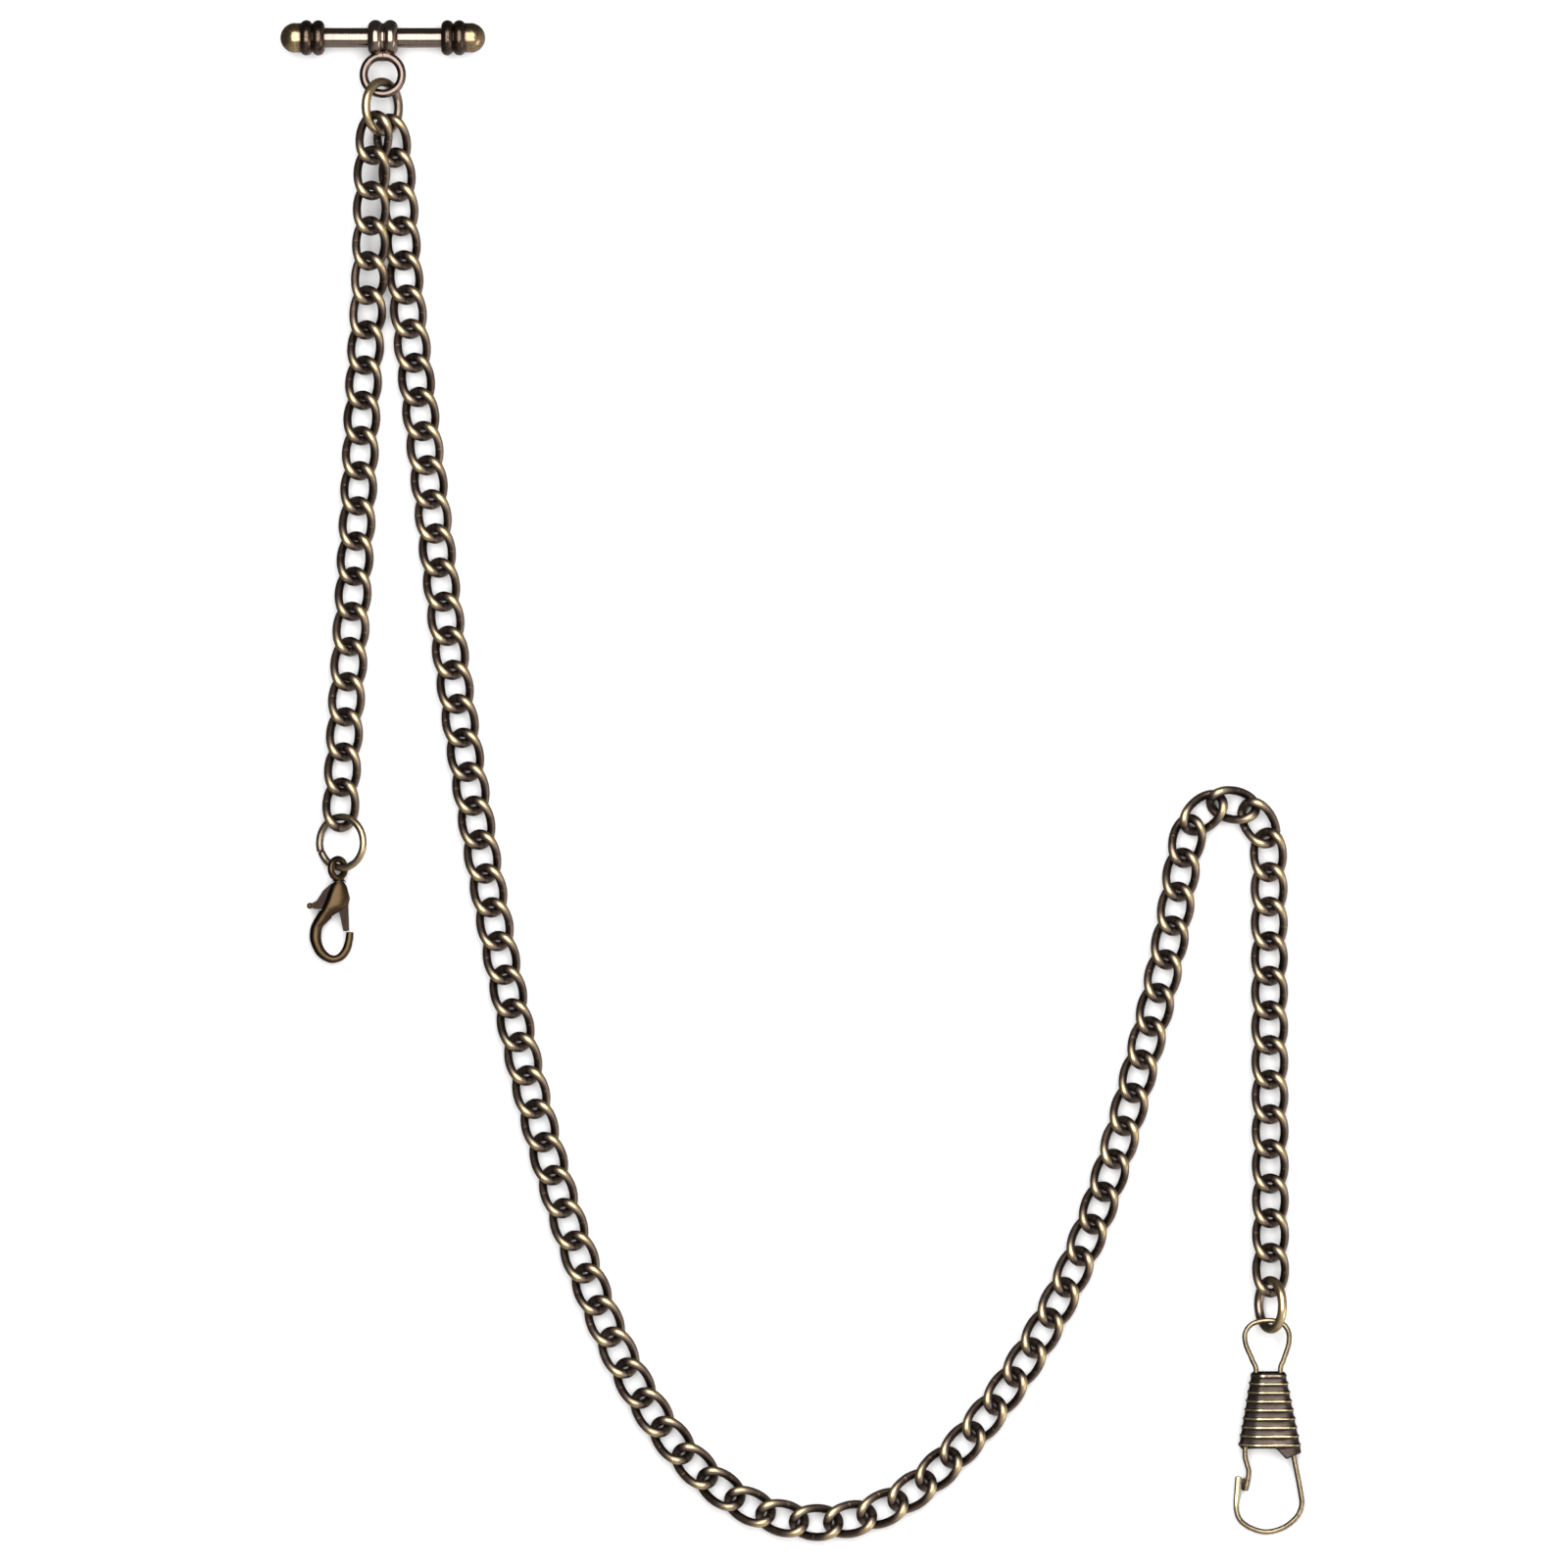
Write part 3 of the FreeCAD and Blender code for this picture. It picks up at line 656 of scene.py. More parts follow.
rod_form = turned(lambda position: ROD_RADIUS, np.linspace(-ROD_HALF, ROD_HALF, 90), 72)
collar_form = turned(collar_radius, np.concatenate([cosine_spaced(-COLLAR_HALF, 0, 34)[:-1],
                                                    cosine_spaced(0, COLLAR_HALF, 34)]))
knob_positions = np.concatenate([cosine_spaced(KNOB_START, KNOB_VALLEY, 26)[:-1],
                                 cosine_spaced(KNOB_VALLEY, KNOB_STEP, 26)[:-1],
                                 np.linspace(KNOB_STEP, DOME_CENTRE, 6)[:-1],
                                 DOME_CENTRE + DOME_RADIUS * np.sin(np.radians(np.linspace(0, 88.5, 32)))])
knob_form = turned(knob_radius, knob_positions)


def at_bar(form):
    return form[0] + bar_centre, form[1]


def flipped(form):
    """The same form turned half way round, about the vertical through the bar's middle."""
    return form[0] * np.array([-1.0, -1.0, 1.0]), form[1], form[2]


bar_piece("t_bar_rod_turned", "t_bar_rod", bar_brass, rod_form, [at_bar(collar_form), at_bar(knob_form),
          at_bar(flipped(knob_form))], 0.22, 0.38)
bar_piece("t_bar_collar_beads", "t_bar_collar", bar_brass, collar_form, [at_bar(rod_form)], 0.05, 0.55)
bar_piece("t_bar_right_knob_domed", "t_bar_right_knob", dome_brass, knob_form, [at_bar(rod_form)],
          0.0, 0.72, bead_dark=0.55)
bar_piece("t_bar_left_knob_domed", "t_bar_left_knob", dome_brass, flipped(knob_form), [at_bar(rod_form)],
          0.05, 0.78, bead_dark=0.55)

# ---------------------------------------------------------------- rings

RING_REACH = 2.0


def ring_path(centre, radius, tilt, seam, gap, slip, turns=120):
    """A ring of wire whose two ends meet at a seam, the second a little out of line."""
    half_gap = gap / radius / 2
    angles = np.linspace(seam + half_gap, seam + 2 * math.pi - half_gap, turns)
    share = np.linspace(0, 1, turns)
    lift = slip * smooth_step(share, 0.80, 1.0)
    flat = np.stack([radius * np.cos(angles), radius * np.sin(angles), lift], axis=1)
    turn = np.array(Matrix.Rotation(math.radians(tilt), 3, "Y"))
    return flat @ turn.T + centre


def ring_piece(name, node, material, centre, radius, wire, tilt, seam, gap=0.05, slip=0.0, base=0.28,
               gain=0.42, swell=None, right_painted_light=0.0, seam_dark=0.30):
    """A wire ring.

    'swell' thickens the wire near a point: place, extra radius, reach. The right-side amount is painted light:
    how much lighter the right side is painted than the middle, the left side darker by as much; 'seam_dark' is
    how much less the seam is.
    """
    path = ring_path(centre, radius, tilt, math.radians(seam), gap, slip)
    radii = np.full(len(path), wire)
    if swell is not None:
        closeness = np.linalg.norm(path - swell[0], axis=1)
        radii = radii + swell[1] * np.exp(-(closeness / swell[2]) ** 2)
    verts, faces, flow = swept(path, radii, around=24, rounding=0.12)
    normals = vertex_normals(verts, faces)
    openness = exposure(verts, normals, [(verts, faces)], RING_REACH)
    away = ((verts - centre) * normals).sum(axis=1) / np.linalg.norm(verts - centre, axis=1)
    # The outer face is rubbed brighter; spots hemmed in are darker, patina kept there together with painted
    # shade.
    wear_and_painted_light = base + gain * (0.35 * smooth_step(away, -0.6, 0.9) + 0.65 * smooth_step(openness, 0.45, 1.0))
    # Painted light: one side of the ring painted lighter and the other darker.
    wear_and_painted_light = wear_and_painted_light + right_painted_light * (verts - centre)[:, 0] / radius
    from_seam = np.linalg.norm(verts - (path[0] + path[-1]) / 2, axis=1)
    wear_and_painted_light = wear_and_painted_light - seam_dark * np.exp(-((from_seam / wire) ** 2))
    return piece(name, [node], material, verts, faces, wear_and_painted_light, flow)


bar_ring_centre = middle("t_bar_ring")
ring_piece("t_bar_ring_wire", "t_bar_ring", bar_brass, bar_ring_centre, 2.23, 0.50, 0, 90, base=0.14,
           gain=0.32, seam_dark=0.0, swell=(bar_ring_centre + np.array([0, 2.2, -0.1]), 0.16, 0.8))
ring_piece("connecting_ring_wire", "connecting_ring", ring_brass, middle("connecting_ring"),
           2.93, 0.52, 51, 252, base=0.27, gain=0.42, right_painted_light=-0.14)
ring_piece("short_chain_end_ring_wire", "short_chain_end_ring", ring_brass,
           middle("short_chain_end_ring"), 2.98, 0.42, -30, 201, gap=0.16, slip=0.10, base=0.18, gain=0.50,
           seam_dark=0.45)
ring_piece("long_chain_end_ring_wire", "long_chain_end_ring", ring_brass,
           middle("long_chain_end_ring"), 2.85, 0.54, -63, 120, base=0.28, gain=0.42, right_painted_light=0.16)

# ---------------------------------------------------------------- lobster clasp

SLOT_HALF = 0.58
LEVER_HALF = 0.50
rivet_middle = middle("clasp_rivet")
PIVOT = np.array([0.09, -3.10, 0.0])
clasp_origin = rivet_middle - PIVOT
EYE_RADIUS = 1.10
EYE_WIRE = 0.40
EYE_TILT = 45.0
EYE_RISE = 0.52

# Each row: a point of the left edge, a point of the right edge, half thickness, ridge shift.
BODY_SECTIONS = [
    (-0.16, -0.98, 0.26, -0.98, 0.34, 0.0), (-0.45, -1.25, 0.60, -1.20, 0.60, 0.0),
    (-0.90, -1.90, 1.08, -1.80, 0.92, -0.10), (-1.22, -2.70, 1.30, -2.60, 1.12, -0.22),
    (-1.52, -3.60, 1.36, -3.55, 1.15, -0.30), (-1.86, -4.35, 1.12, -4.45, 1.12, -0.30),
    (-2.18, -4.95, 0.42, -5.05, 1.02, -0.22), (-2.55, -5.55, -0.50, -5.62, 0.92, -0.12),
    (-2.95, -6.25, -1.28, -6.35, 0.84, 0.0), (-3.25, -7.05, -1.83, -7.02, 0.74, 0.0),
    (-3.28, -8.42, -1.94, -8.36, 0.68, 0.0), (-2.58, -10.02, -1.62, -9.34, 0.58, 0.0),
    (-1.52, -10.86, -1.06, -9.98, 0.50, 0.0), (-0.48, -11.10, -0.48, -10.20, 0.46, 0.0),
    (0.72, -10.62, 0.04, -9.98, 0.46, 0.0), (1.45, -9.60, 0.56, -9.26, 0.46, 0.0),
    (1.76, -8.40, 0.84, -8.34, 0.47, 0.0), (1.86, -7.50, 0.98, -7.40, 0.46, 0.0)]


def clasp_body_form():
    """The hook and back of the clasp, lofted through its sections."""
    around = 36
    rows = catmull(BODY_SECTIONS, 14)
    angles = np.arange(around) * 2 * math.pi / around
    verts = []
    for left_x, left_y, right_x, right_y, half, ridge in rows:
        left = np.array([left_x, left_y, 0])
        right = np.array([right_x, right_y, 0])
        centre = (left + right) / 2
        reach = (right - left) / 2
        along = np.cos(angles)
        along = along + ridge * (1 - along ** 2) * np.abs(np.sin(angles))
        verts.append(centre + along[:, None] * reach + np.sin(angles)[:, None] * np.array([0, 0, half]))
    faces = grid_faces(len(rows), around)
    faces.append(tuple(reversed(range(around))))
    faces.append(tuple(range((len(rows) - 1) * around, len(rows) * around)))
    verts = np.vstack(verts)
    return verts, facing_out(verts, faces)


def eye_form():
    """The eye that the end ring runs through, turned out of the plane of the clasp."""
    angles = np.linspace(0, 2 * math.pi, 72, endpoint=False)
    flat = np.stack([EYE_RADIUS * np.cos(angles), EYE_RADIUS * np.sin(angles), np.zeros(len(angles))], axis=1)
    turn = np.array(Matrix.Rotation(math.radians(EYE_TILT), 3, "Y"))
    path = flat @ turn.T + np.array([0, 0, EYE_RISE])
    verts, faces, _ = swept(path, EYE_WIRE, closed=True, around=20)
    return verts, faces


def prism_form(outline, low, high):
    """An outline in the plane of the clasp, given a thickness."""
    count = len(outline)
    verts = np.array([(x, y, low) for x, y in outline] + [(x, y, high) for x, y in outline])
    faces = [tuple(reversed(range(count))), tuple(range(count, 2 * count))]
    for index in range(count):
        beside = (index + 1) % count
        faces.append((index, beside, beside + count, index + count))
    return verts, facing_out(verts, faces)


def disc_outline(centre, radius, count=40):
    return [(centre[0] + radius * math.cos(2 * math.pi * index / count),
             centre[1] + radius * math.sin(2 * math.pi * index / count)) for index in range(count)]


def temporary(name, form):
    mesh = bpy.data.meshes.new(name)
    mesh.from_pydata((form[0] * MM).tolist(), [], form[1])
    mesh.update()
    item = bpy.data.objects.new(name, mesh)
    scene.collection.objects.link(item)
    return item


def combined(base, tools, operation):
    """The base with tools added to it or cut from it, as one closed mesh."""
    for tool in tools:
        modifier = base.modifiers.new("shape", "BOOLEAN")
        modifier.operation = operation
        modifier.solver = "EXACT"
        modifier.object = tool
    settle(base)
    for tool in tools:
        bpy.data.objects.remove(tool)


def settle(item):
    """Apply an object's modifiers."""
    bpy.context.view_layer.update()
    evaluated = item.evaluated_get(bpy.context.evaluated_depsgraph_get())
    mesh = bpy.data.meshes.new_from_object(evaluated)
    item.modifiers.clear()
    item.data = mesh


def blended(item, voxel, passes):
    """Round a casting: even faces all over, then smoothed."""
    remesh = item.modifiers.new("even", "REMESH")
    remesh.mode = "VOXEL"
    remesh.voxel_size = voxel * MM
    smooth = item.modifiers.new("round", "SMOOTH")
    smooth.factor = 0.5
    smooth.iterations = passes
    settle(item)


def softened(item, width):
    """Break the sharp edges of a cut or stamped piece."""
    bevel = item.modifiers.new("edges", "BEVEL")
    bevel.width = width * MM
    bevel.segments = 3
    bevel.limit_method = "ANGLE"
    bevel.angle_limit = math.radians(35)
    settle(item)


def taken(item):
    """Vertices in millimetres and faces of a temporary object, which is then removed."""
    mesh = item.data
    points = np.zeros(len(mesh.vertices) * 3)
    mesh.vertices.foreach_get("co", points)
    faces = [tuple(face.vertices) for face in mesh.polygons]
    bpy.data.objects.remove(item)
    return points.reshape(-1, 3) / MM, faces


def cast_piece(name, node, material, verts, faces, base, gain, reach, others=(), left_painted_shade=0.0,
               rubbed=None):
    """A cast part. The left-flank amount is painted shade: how much darker its left flank is painted, and
    'rubbed' a spot that fingers
    keep bright: place and size.
    """
    normals = vertex_normals(verts, faces)
    openness = exposure(verts, normals, [(verts, faces), *others], reach)
    # Darker where hemmed in, in the slot and beside the lever: patina kept there together with painted shade
    # between the parts.
    wear_and_painted_light = base + gain * smooth_step(openness, 0.35, 1.0)
    # Painted shade: the left flank is darkened as the side turned from the light.
    wear_and_painted_light = wear_and_painted_light - left_painted_shade * smooth_step(-normals[:, 0], 0.1, 0.8)
    if rubbed is not None:
        away = np.linalg.norm(verts - rubbed[0], axis=1)
        wear_and_painted_light = wear_and_painted_light + 0.60 * smooth_step(-away, -1.3 * rubbed[1], -rubbed[1])
    return piece(name, [node], material, verts, faces, wear_and_painted_light, verts[:, [1, 0, 2]])


SLOT_OUTLINE = [(-4.50, -4.95), (-4.50, -1.60), (-0.60, -1.60), (0.10, -3.00), (2.00, -3.00), (2.00, -7.45),
                (-0.75, -7.45), (-0.75, -4.95)]
SLOT_ROUND = 1.70
RIVET_RADIUS = 0.32
RIVET_PLAY = 0.004
RIVET_DOME = 1.11
RIVET_LOW = 1.21
RIVET_TOP = 0.84
BORE_TOP = 0.86
BORE_PLAY = 0.04
PAST = 2.0
CLASP_REACH = 2.2
BODY_VOXEL = 0.06
LEVER_VOXEL = 0.05

body_item = temporary("clasp_blank", clasp_body_form())
combined(body_item, [temporary("eye_blank", eye_form())], "UNION")
blended(body_item, BODY_VOXEL, 6)
combined(body_item, [temporary("slot_tool", prism_form(SLOT_OUTLINE, -SLOT_HALF, SLOT_HALF)),
                     temporary("round_tool",
                               prism_form(disc_outline(PIVOT, SLOT_ROUND, 64), -SLOT_HALF, SLOT_HALF)),
                     temporary("bore_tool", prism_form(disc_outline(PIVOT, RIVET_RADIUS), -PAST, BORE_TOP))],
         "DIFFERENCE")
body_verts, body_faces = taken(body_item)
body_verts = body_verts + clasp_origin

LEVER_OUTLINE = [(-0.76, -1.74), (-1.75, -2.60), (-2.50, -3.80), (-3.20, -4.15), (-3.20, -4.60), (-2.60, -4.75),
                 (-1.60, -4.70), (-0.40, -4.45), (0.15, -5.00), (0.62, -7.35), (1.30, -7.30), (1.25, -5.50),
                 (1.20, -4.30), (1.40, -3.50), (1.00, -2.00), (0.10, -1.55)]
THUMB = (-3.30, -4.37)
THUMB_RADIUS = 0.37
POCKET_RADIUS = 0.75


def sphere_form(centre, radius):
    """The round end of the lever that the thumb pulls."""
    rows, around = 18, 28
    lifts = np.radians(np.linspace(-86, 86, rows))
    angles = np.arange(around) * 2 * math.pi / around
    verts = []
    for lift in lifts:
        verts.append(np.stack([centre[0] + radius * math.cos(lift) * np.cos(angles),
                               centre[1] + radius * math.cos(lift) * np.sin(angles),
                               np.full(around, radius * math.sin(lift))], axis=1))
    faces = grid_faces(rows, around)
    faces.append(tuple(reversed(range(around))))
    faces.append(tuple(range((rows - 1) * around, rows * around)))
    verts = np.vstack(verts)
    return verts, facing_out(verts, faces)


lever_item = temporary("lever_blank", prism_form(LEVER_OUTLINE, -LEVER_HALF, LEVER_HALF))
combined(lever_item, [temporary("thumb_blank", sphere_form(THUMB, THUMB_RADIUS))], "UNION")
blended(lever_item, LEVER_VOXEL, 5)
combined(lever_item, [temporary("pin_tool",
                                prism_form(disc_outline(PIVOT, RIVET_RADIUS + BORE_PLAY), -PAST, PAST)),
                      temporary("coil_tool", prism_form(disc_outline(PIVOT, POCKET_RADIUS), 0.0, PAST))],
         "DIFFERENCE")
lever_verts, lever_faces = taken(lever_item)
lever_verts = lever_verts + clasp_origin

cast_piece("clasp_body_cast", "clasp_body", clasp_brass, body_verts, body_faces, 0.04, 0.50,
           CLASP_REACH, [(lever_verts, lever_faces)], left_painted_shade=0.25)
cast_piece("clasp_lever_cast", "clasp_lever", clasp_brass, lever_verts, lever_faces, 0.0, 0.20,
           CLASP_REACH, [(body_verts, body_faces)],
           rubbed=(clasp_origin + np.array([*THUMB, 0.0]), THUMB_RADIUS))


def rivet_radius(position):
    """A pin with a low dome underneath."""
    if position >= -RIVET_DOME:
        return RIVET_RADIUS - RIVET_PLAY
    share = (-position - RIVET_DOME) / (RIVET_LOW - RIVET_DOME)
    return (RIVET_RADIUS - RIVET_PLAY) * math.sqrt(max(1 - share ** 2, 0.0002))


rivet_rows = np.concatenate([-RIVET_LOW + np.array([0, 0.005, 0.02, 0.05]),
                             np.linspace(-RIVET_DOME, RIVET_TOP, 12)])
rivet_verts, rivet_faces, rivet_flow = turned(rivet_radius, rivet_rows, 40)
rivet_verts = rivet_verts[:, [1, 2, 0]] + rivet_middle
piece("clasp_rivet_domed", ["clasp_rivet"], clasp_brass, rivet_verts, rivet_faces,
      np.full(len(rivet_verts), 0.40), rivet_flow)
joint_nodes["clasp_spring"].data.materials.clear()
joint_nodes["clasp_spring"].data.materials.append(spring_steel)

# ---------------------------------------------------------------- ribbed clip

CLIP_TILT = math.radians(6)
CLIP_WIRE = 0.30
TIP_SPREAD = 0.075
TIP_THINNING = 0.085
SLEEVE_LENGTH = 8.76
SLEEVE_WIDE = (3.58, 1.12)
SLEEVE_NARROW = (1.95, 0.90)
SLEEVE_LEAN = -0.16
SLEEVE_WALL = 0.25
RIB_FIRST = 0.25
RIB_PITCH = 1.035
RIB_COUNT = 8
RIB_HEIGHT = 0.15
RIB_WIDTH = 0.17
ROLL_HEIGHT = 0.10
ROLL_WIDTH = 0.22
ROLL_BELOW_TOP = 0.34
LIP = 0.05
SQUARENESS = 3.1
FOLD_THINNING = 0.34
LOOP_TOP = 14.90
FRAME_SPACING = 0.12
GATE_SPACING = 0.08
FRAME_ROUTE = [(-3.65, -3.68), (-3.75, -5.52), (-3.88, -7.25), (-3.45, -8.68), (-2.19, -9.66),
               (-0.35, -10.15), (1.61, -9.66), (3.20, -8.40), (3.80, -7.00), (3.66, -5.40),
               (2.80, -0.92), (2.00, 4.00), (1.25, 8.70), (1.60, 10.20), (2.20, 12.10), (2.15, 13.60),
               (1.30, 14.60), (-0.38, LOOP_TOP), (-2.05, 14.50), (-2.90, 13.40), (-2.80, 12.00),
               (-2.05, 10.20), (-1.60, 8.70), (-2.20, 4.50), (-2.75, 0.80)]
GATE_ROUTE = [(-2.82, 0.40), (-2.86, -1.20), (-2.60, -2.25), (-2.42, -3.00), (-2.53, -4.03), (-2.76, -5.15)]

clip_turn = np.array(Matrix.Rotation(CLIP_TILT, 3, "X"))
frame_low, frame_high = node_box("clip_frame_wire")
FRAME_LEFT = -3.88 - CLIP_WIRE
clip_origin = np.array([frame_low[0] - FRAME_LEFT, 0.0, 0.0])
clip_origin[1] = frame_high[1] - (LOOP_TOP * math.cos(CLIP_TILT) + CLIP_WIRE)
clip_origin[2] = frame_high[2] - (LOOP_TOP * math.sin(CLIP_TILT) + CLIP_WIRE)


def in_clip(points):
    """Points of the clip's own plane, where the clip lies on the table."""
    return points @ clip_turn.T + clip_origin


def flat_route(route, spacing):
    """A smooth wire line through points of the clip's plane."""
    line = catmull([(x, y, 0) for x, y in route], 24)
    return even(line, spacing)


frame_line = flat_route(FRAME_ROUTE, FRAME_SPACING)
frame_travel = np.linspace(0, 1, len(frame_line)) * (len(frame_line) - 1) * FRAME_SPACING
tip_flat = 1 - smooth_step(frame_travel, 2.2, 3.6)
frame_wide = CLIP_WIRE + TIP_SPREAD * tip_flat
frame_deep = CLIP_WIRE - TIP_THINNING * tip_flat
frame_verts, frame_faces, frame_flow = swept(frame_line, frame_wide, frame_deep, around=20, up=(0, 0, 1))
gate_line = flat_route(GATE_ROUTE, GATE_SPACING)
gate_verts, gate_faces, _ = swept(gate_line, CLIP_WIRE, CLIP_WIRE, around=20, up=(0, 0, 1))
CATCH_OUTLINE = [(-3.27, -5.12), (-3.25, -3.86), (-2.75, -3.72), (-2.40, -4.10), (-2.62, -5.24),
                 (-3.18, -5.24)]
CATCH_HALF = 0.15
CATCH_BEVEL = 0.05


def sleeve_rise(height):
    """How far the sheet stands out at a height: thin ribs, and a rolled collar at the top."""
    rise = 0.0
    for rib in range(RIB_COUNT):
        offset = height - (RIB_FIRST + rib * RIB_PITCH)
        rise += RIB_HEIGHT * math.exp(-(offset / RIB_WIDTH) ** 2)
    offset = height - (SLEEVE_LENGTH - ROLL_BELOW_TOP)
    rise += ROLL_HEIGHT * math.exp(-(offset / ROLL_WIDTH) ** 4)
    return rise


# How far the back sheet hangs below the front; its inside is painted near black as shade.
BACK_DROP = 0.42
CREASE_PLACE = 0.40
# How far the front edge hangs below the sleeve's foot, across its width.
SKIRT_X = [-5.0, 0.20, 1.27, 2.30, 3.50, 5.0]
SKIRT_Y = [0.0, 0.0, -1.38, -0.98, -0.75, -0.70]


def sleeve_form():
    """The ribbed sheet sleeve: an outer skin and an inner one, joined at both edges."""
    around, rows = 144, 200
    angles = np.arange(around) * 2 * math.pi / around
    low = np.interp(SLEEVE_WIDE[0] * np.cos(angles), SKIRT_X, SKIRT_Y)
    behind = smooth_step(-np.sin(angles), 0.15, 0.6)
    low = np.minimum(low, low * (1 - behind) - BACK_DROP * behind)
    layers = []
    for inside in (False, True):
        grid = []
        for row in range(rows):
            heights = low + (SLEEVE_LENGTH - low) * row / (rows - 1)
            rises = np.array([sleeve_rise(height) for height in heights])
            lip = LIP * max(0.0, 1 - min(row, rows - 1 - row) / 3.0)
            insets = SLEEVE_WALL - rises - lip if inside else lip - rises
            share = heights / SLEEVE_LENGTH
            wide = SLEEVE_WIDE[0] + share * (SLEEVE_NARROW[0] - SLEEVE_WIDE[0]) - insets
            deep = SLEEVE_WIDE[1] + share * (SLEEVE_NARROW[1] - SLEEVE_WIDE[1]) - insets
            cosine, sine = np.cos(angles), np.sin(angles)
            power = 2 / SQUARENESS
            x = wide * np.sign(cosine) * np.abs(cosine) ** power
            z = deep * np.sign(sine) * np.abs(sine) ** power
            fold = smooth_step(-x / wide, 0.36, 0.95)
            grid.append(np.stack([x + share * SLEEVE_LEAN, heights, z * (1 - FOLD_THINNING * fold)], axis=1))
        layers.append(np.array(grid))
    outer, inner = layers
    verts = np.vstack([outer.reshape(-1, 3), inner[::-1].reshape(-1, 3)])
    return verts, grid_faces(2 * rows, around, wrap_rows=True)


# The ribs and the left part of the bottom rim are rubbed bright. The crease carries painted highlights,
# the left flank rubbed gold with a painted highlight, and the inside is painted near black as shade.
sleeve_verts, sleeve_faces = sleeve_form()
sleeve_faces = facing_out(sleeve_verts, sleeve_faces)
sleeve_normals = vertex_normals(sleeve_verts, sleeve_faces)
rib_rise = np.array([sleeve_rise(height) for height in sleeve_verts[:, 1]]) / RIB_HEIGHT
outer_count = len(sleeve_verts) // 2
inside_mask = np.concatenate([np.zeros(outer_count), np.ones(outer_count)])
edge_glow = smooth_step(-sleeve_verts[:, 1], -0.12, 0.05) * smooth_step(-sleeve_verts[:, 0], -0.4, 0.6)
left_flank_wear_and_highlight = smooth_step(-sleeve_normals[:, 0], 0.45, 0.85)
behind = smooth_step(-sleeve_normals[:, 2], 0.0, 0.3)
sleeve_wear_and_light = 0.36 + 0.44 * smooth_step(rib_rise, 0.30, 0.95)
# Painted highlight together with rubbed gold on the left flank; the bottom rim on the left is rubbed bright.
sleeve_wear_and_light = sleeve_wear_and_light + 0.35 * edge_glow * (1 - behind) + 0.30 * left_flank_wear_and_highlight
sleeve_reach = SLEEVE_WIDE[0] + sleeve_verts[:, 1] / SLEEVE_LENGTH * (SLEEVE_NARROW[0] - SLEEVE_WIDE[0])
crease = sleeve_verts[:, 0] / sleeve_reach
crease_painted_highlight = np.exp(-(((crease + CREASE_PLACE) / 0.07) ** 2)) * smooth_step(sleeve_normals[:, 2], 0.2, 0.6)
# Painted highlights along the crease, on its upward faces.
sleeve_wear_and_light = sleeve_wear_and_light + 0.28 * crease_painted_highlight * smooth_step(rib_rise, 0.1, 0.8)
# Painted shade: the inside of the sleeve is painted near black, which also darkens the band of the back sheet
# seen under the front rim.
sleeve_wear_and_light = sleeve_wear_and_light * (1 - inside_mask) + 0.02 * inside_mask
piece("clip_sleeve_ribbed", ["clip_sleeve"], sleeve_brass, in_clip(sleeve_verts), sleeve_faces,
      sleeve_wear_and_light, sleeve_verts)


HOOK_CENTRE = np.array([0.0, -5.5, 0.0])


def wire_piece(name, node, form, base, gain, extra):
    """A wire of the clip, rubbed on the side away from the hook's middle. 'extra' adds to the mask, on the gate
    the painted shade of the catch.
    """
    verts, faces, flow = form
    normals = vertex_normals(verts, faces)
    outwards = verts - HOOK_CENTRE
    away = (outwards * normals).sum(axis=1) / np.linalg.norm(outwards, axis=1)
    wear_and_painted_light = base + gain * smooth_step(away, -0.7, 0.8) + extra
    return piece(name, [node], wire_brass, in_clip(verts), faces, wear_and_painted_light, flow)


tip_bright = 0.42 * smooth_step(frame_verts[:, 1], -9.0, -6.0) * smooth_step(-frame_verts[:, 0], 3.2, 3.4)
wire_piece("clip_frame_wire_bent", "clip_frame_wire", (frame_verts, frame_faces, frame_flow), 0.38, 0.28,
           tip_bright)
gate_item = temporary("gate_blank", (gate_verts, gate_faces))
catch_item = temporary("catch_blank", prism_form(CATCH_OUTLINE, -CATCH_HALF, CATCH_HALF))
softened(catch_item, CATCH_BEVEL)
combined(gate_item, [catch_item], "UNION")
gate_verts, gate_faces = taken(gate_item)
# Painted shade: the catch on the gate's end is painted dark, as a part seen in shade.
catch_painted_shade = smooth_step(-gate_verts[:, 0], 2.90, 3.05) * smooth_step(-gate_verts[:, 1], 3.6, 3.9)
wire_piece("clip_gate_wire_bent", "clip_gate_wire", (gate_verts, gate_faces, gate_verts[:, [1, 0, 2]]),
           0.40, 0.25, -0.75 * catch_painted_shade)

# ---------------------------------------------------------------- floor and light

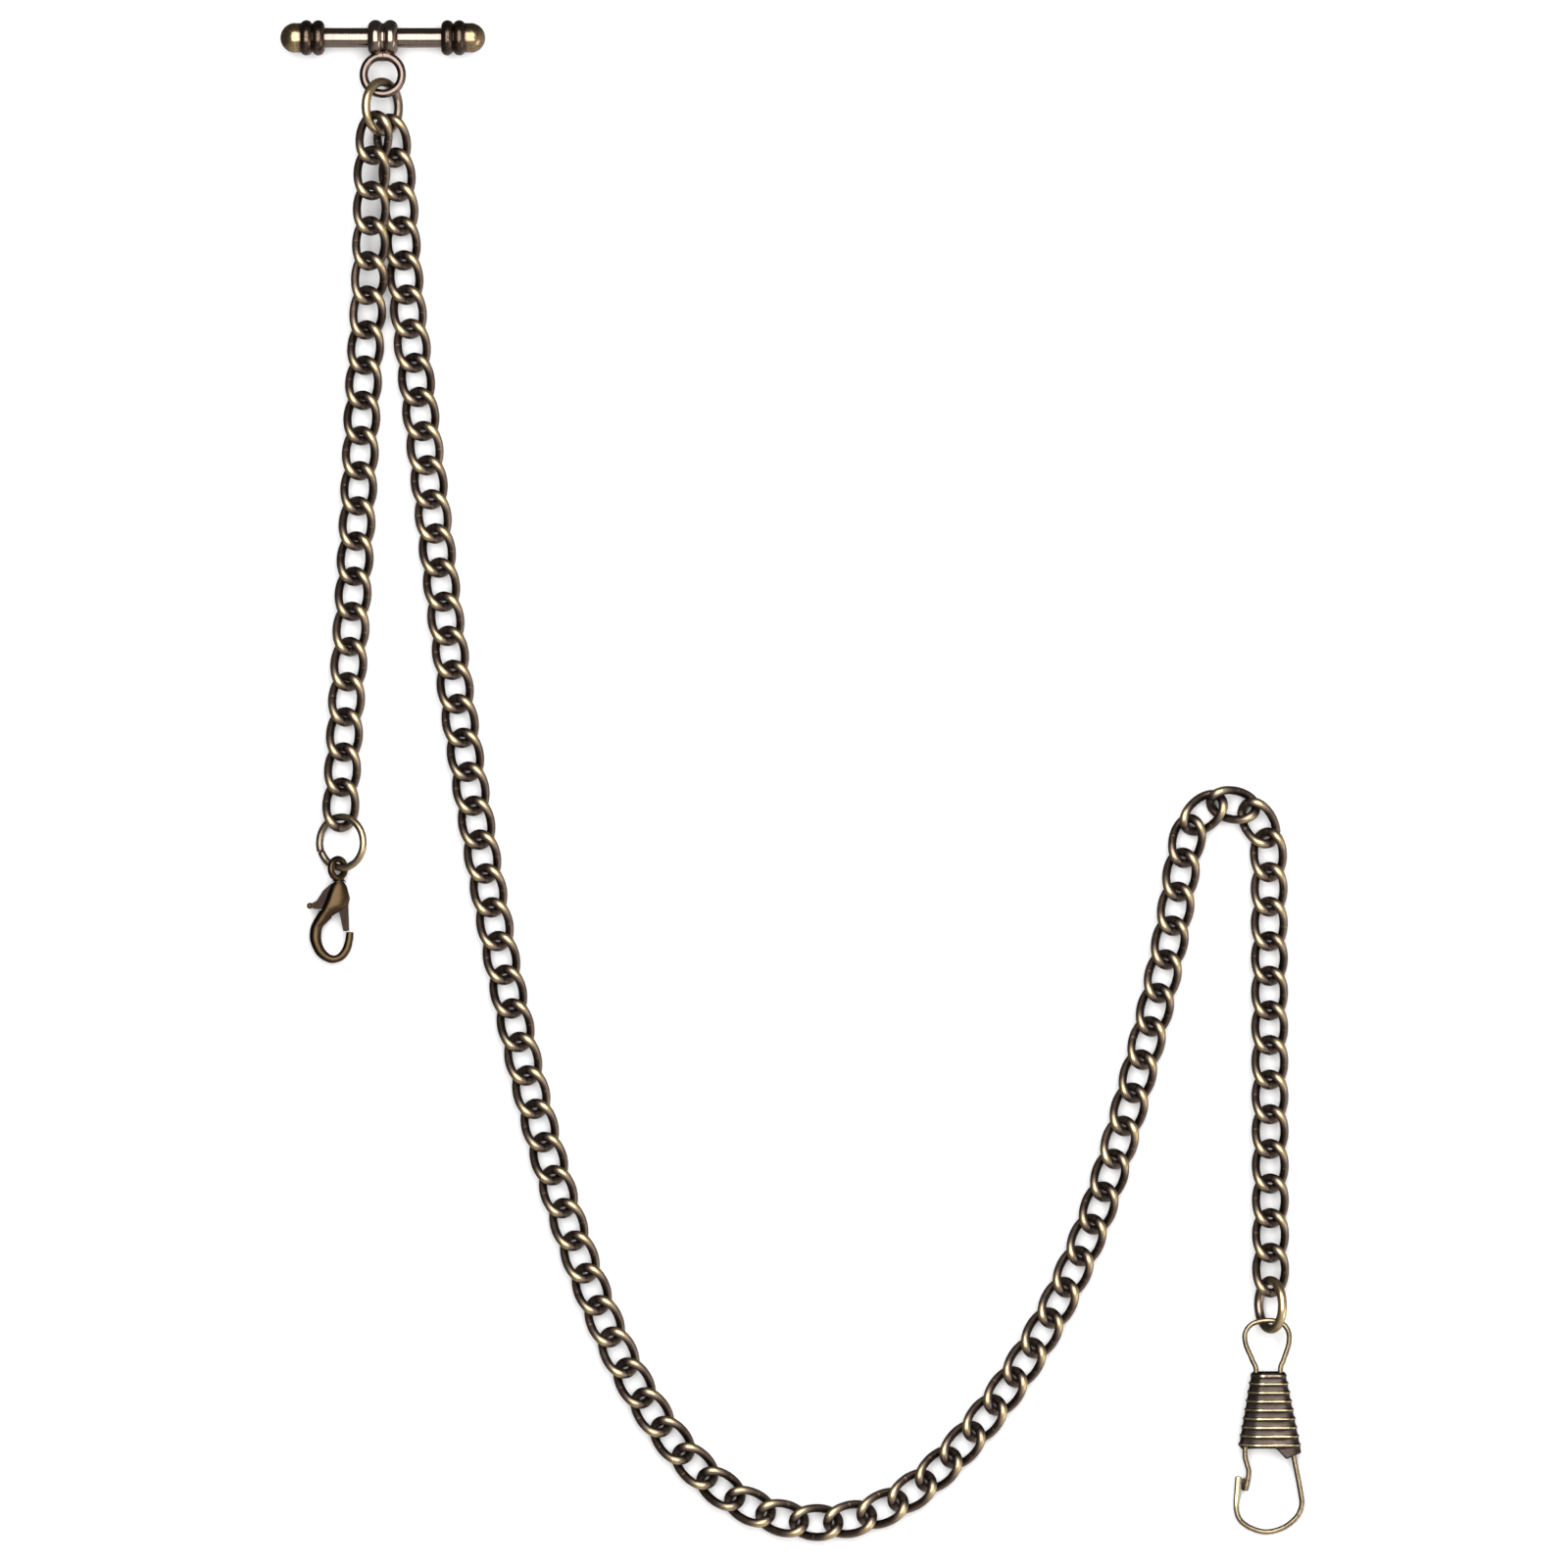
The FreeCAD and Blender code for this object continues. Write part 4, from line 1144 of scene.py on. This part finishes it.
floor_material = bpy.data.materials.new("floor_white")
floor_material.use_nodes = True
floor_shader = floor_material.node_tree.nodes["Principled BSDF"]
floor_shader.inputs["Base Color"].default_value = (0.69, 0.69, 0.69, 1)
floor_shader.inputs["Roughness"].default_value = 0.9
floor_shader.inputs["Specular IOR Level"].default_value = 0.1
FLOOR_HALF = 3.0
floor_mesh = bpy.data.meshes.new("floor")
floor_level = cad_box[0][2] - 0.0001
floor_mesh.from_pydata([(-FLOOR_HALF, -FLOOR_HALF, floor_level), (FLOOR_HALF, -FLOOR_HALF, floor_level),
                        (FLOOR_HALF, FLOOR_HALF, floor_level), (-FLOOR_HALF, FLOOR_HALF, floor_level)],
                       [], [(0, 1, 2, 3)])
floor_mesh.materials.append(floor_material)
floor = bpy.data.objects.new("floor", floor_mesh)
scene.collection.objects.link(floor)
floor.visible_glossy = False


def soft_box(name, place, target, width, length, power, colour=(1, 1, 1)):
    """A rectangular soft light that faces a point."""
    data = bpy.data.lights.new(name, "AREA")
    data.shape = "RECTANGLE"
    data.size = width
    data.size_y = length
    data.energy = power
    data.color = colour
    item = bpy.data.objects.new(name, data)
    item.location = place
    direction = Vector(target) - Vector(place)
    item.rotation_euler = direction.to_track_quat("-Z", "Y").to_euler()
    scene.collection.objects.link(item)
    return item


soft_box("key_overhead", (0.02, 0.24, 0.80), (0.02, 0.24, 0.0), 0.95, 1.05, 19.0)
soft_box("fill_right", (1.5, -0.9, 0.45), (0, 0, 0), 0.9, 0.6, 5.0, (1.0, 0.96, 0.93))

# The room is dim on the left and far side, and lighter on the right and near side.
world = bpy.data.worlds.new("studio")
world.use_nodes = True
room = world.node_tree
background = room.nodes["Background"]
direction = room.nodes.new("ShaderNodeTexCoord")
towards = room.nodes.new("ShaderNodeVectorMath")
towards.operation = "DOT_PRODUCT"
towards.inputs[1].default_value = (0.65, -0.75, 0.0)
room.links.new(direction.outputs["Generated"], towards.inputs[0])
shade = room.nodes.new("ShaderNodeMapRange")
shade.interpolation_type = "SMOOTHSTEP"
shade.inputs["From Min"].default_value = -0.3
shade.inputs["From Max"].default_value = 0.9
shade.inputs["To Min"].default_value = 0.10
shade.inputs["To Max"].default_value = 0.80
room.links.new(towards.outputs["Value"], shade.inputs["Value"])
room.links.new(shade.outputs[0], background.inputs["Strength"])
background.inputs["Color"].default_value = (1.0, 0.95, 0.93, 1)
scene.world = world
scene.view_settings.view_transform = "Standard"
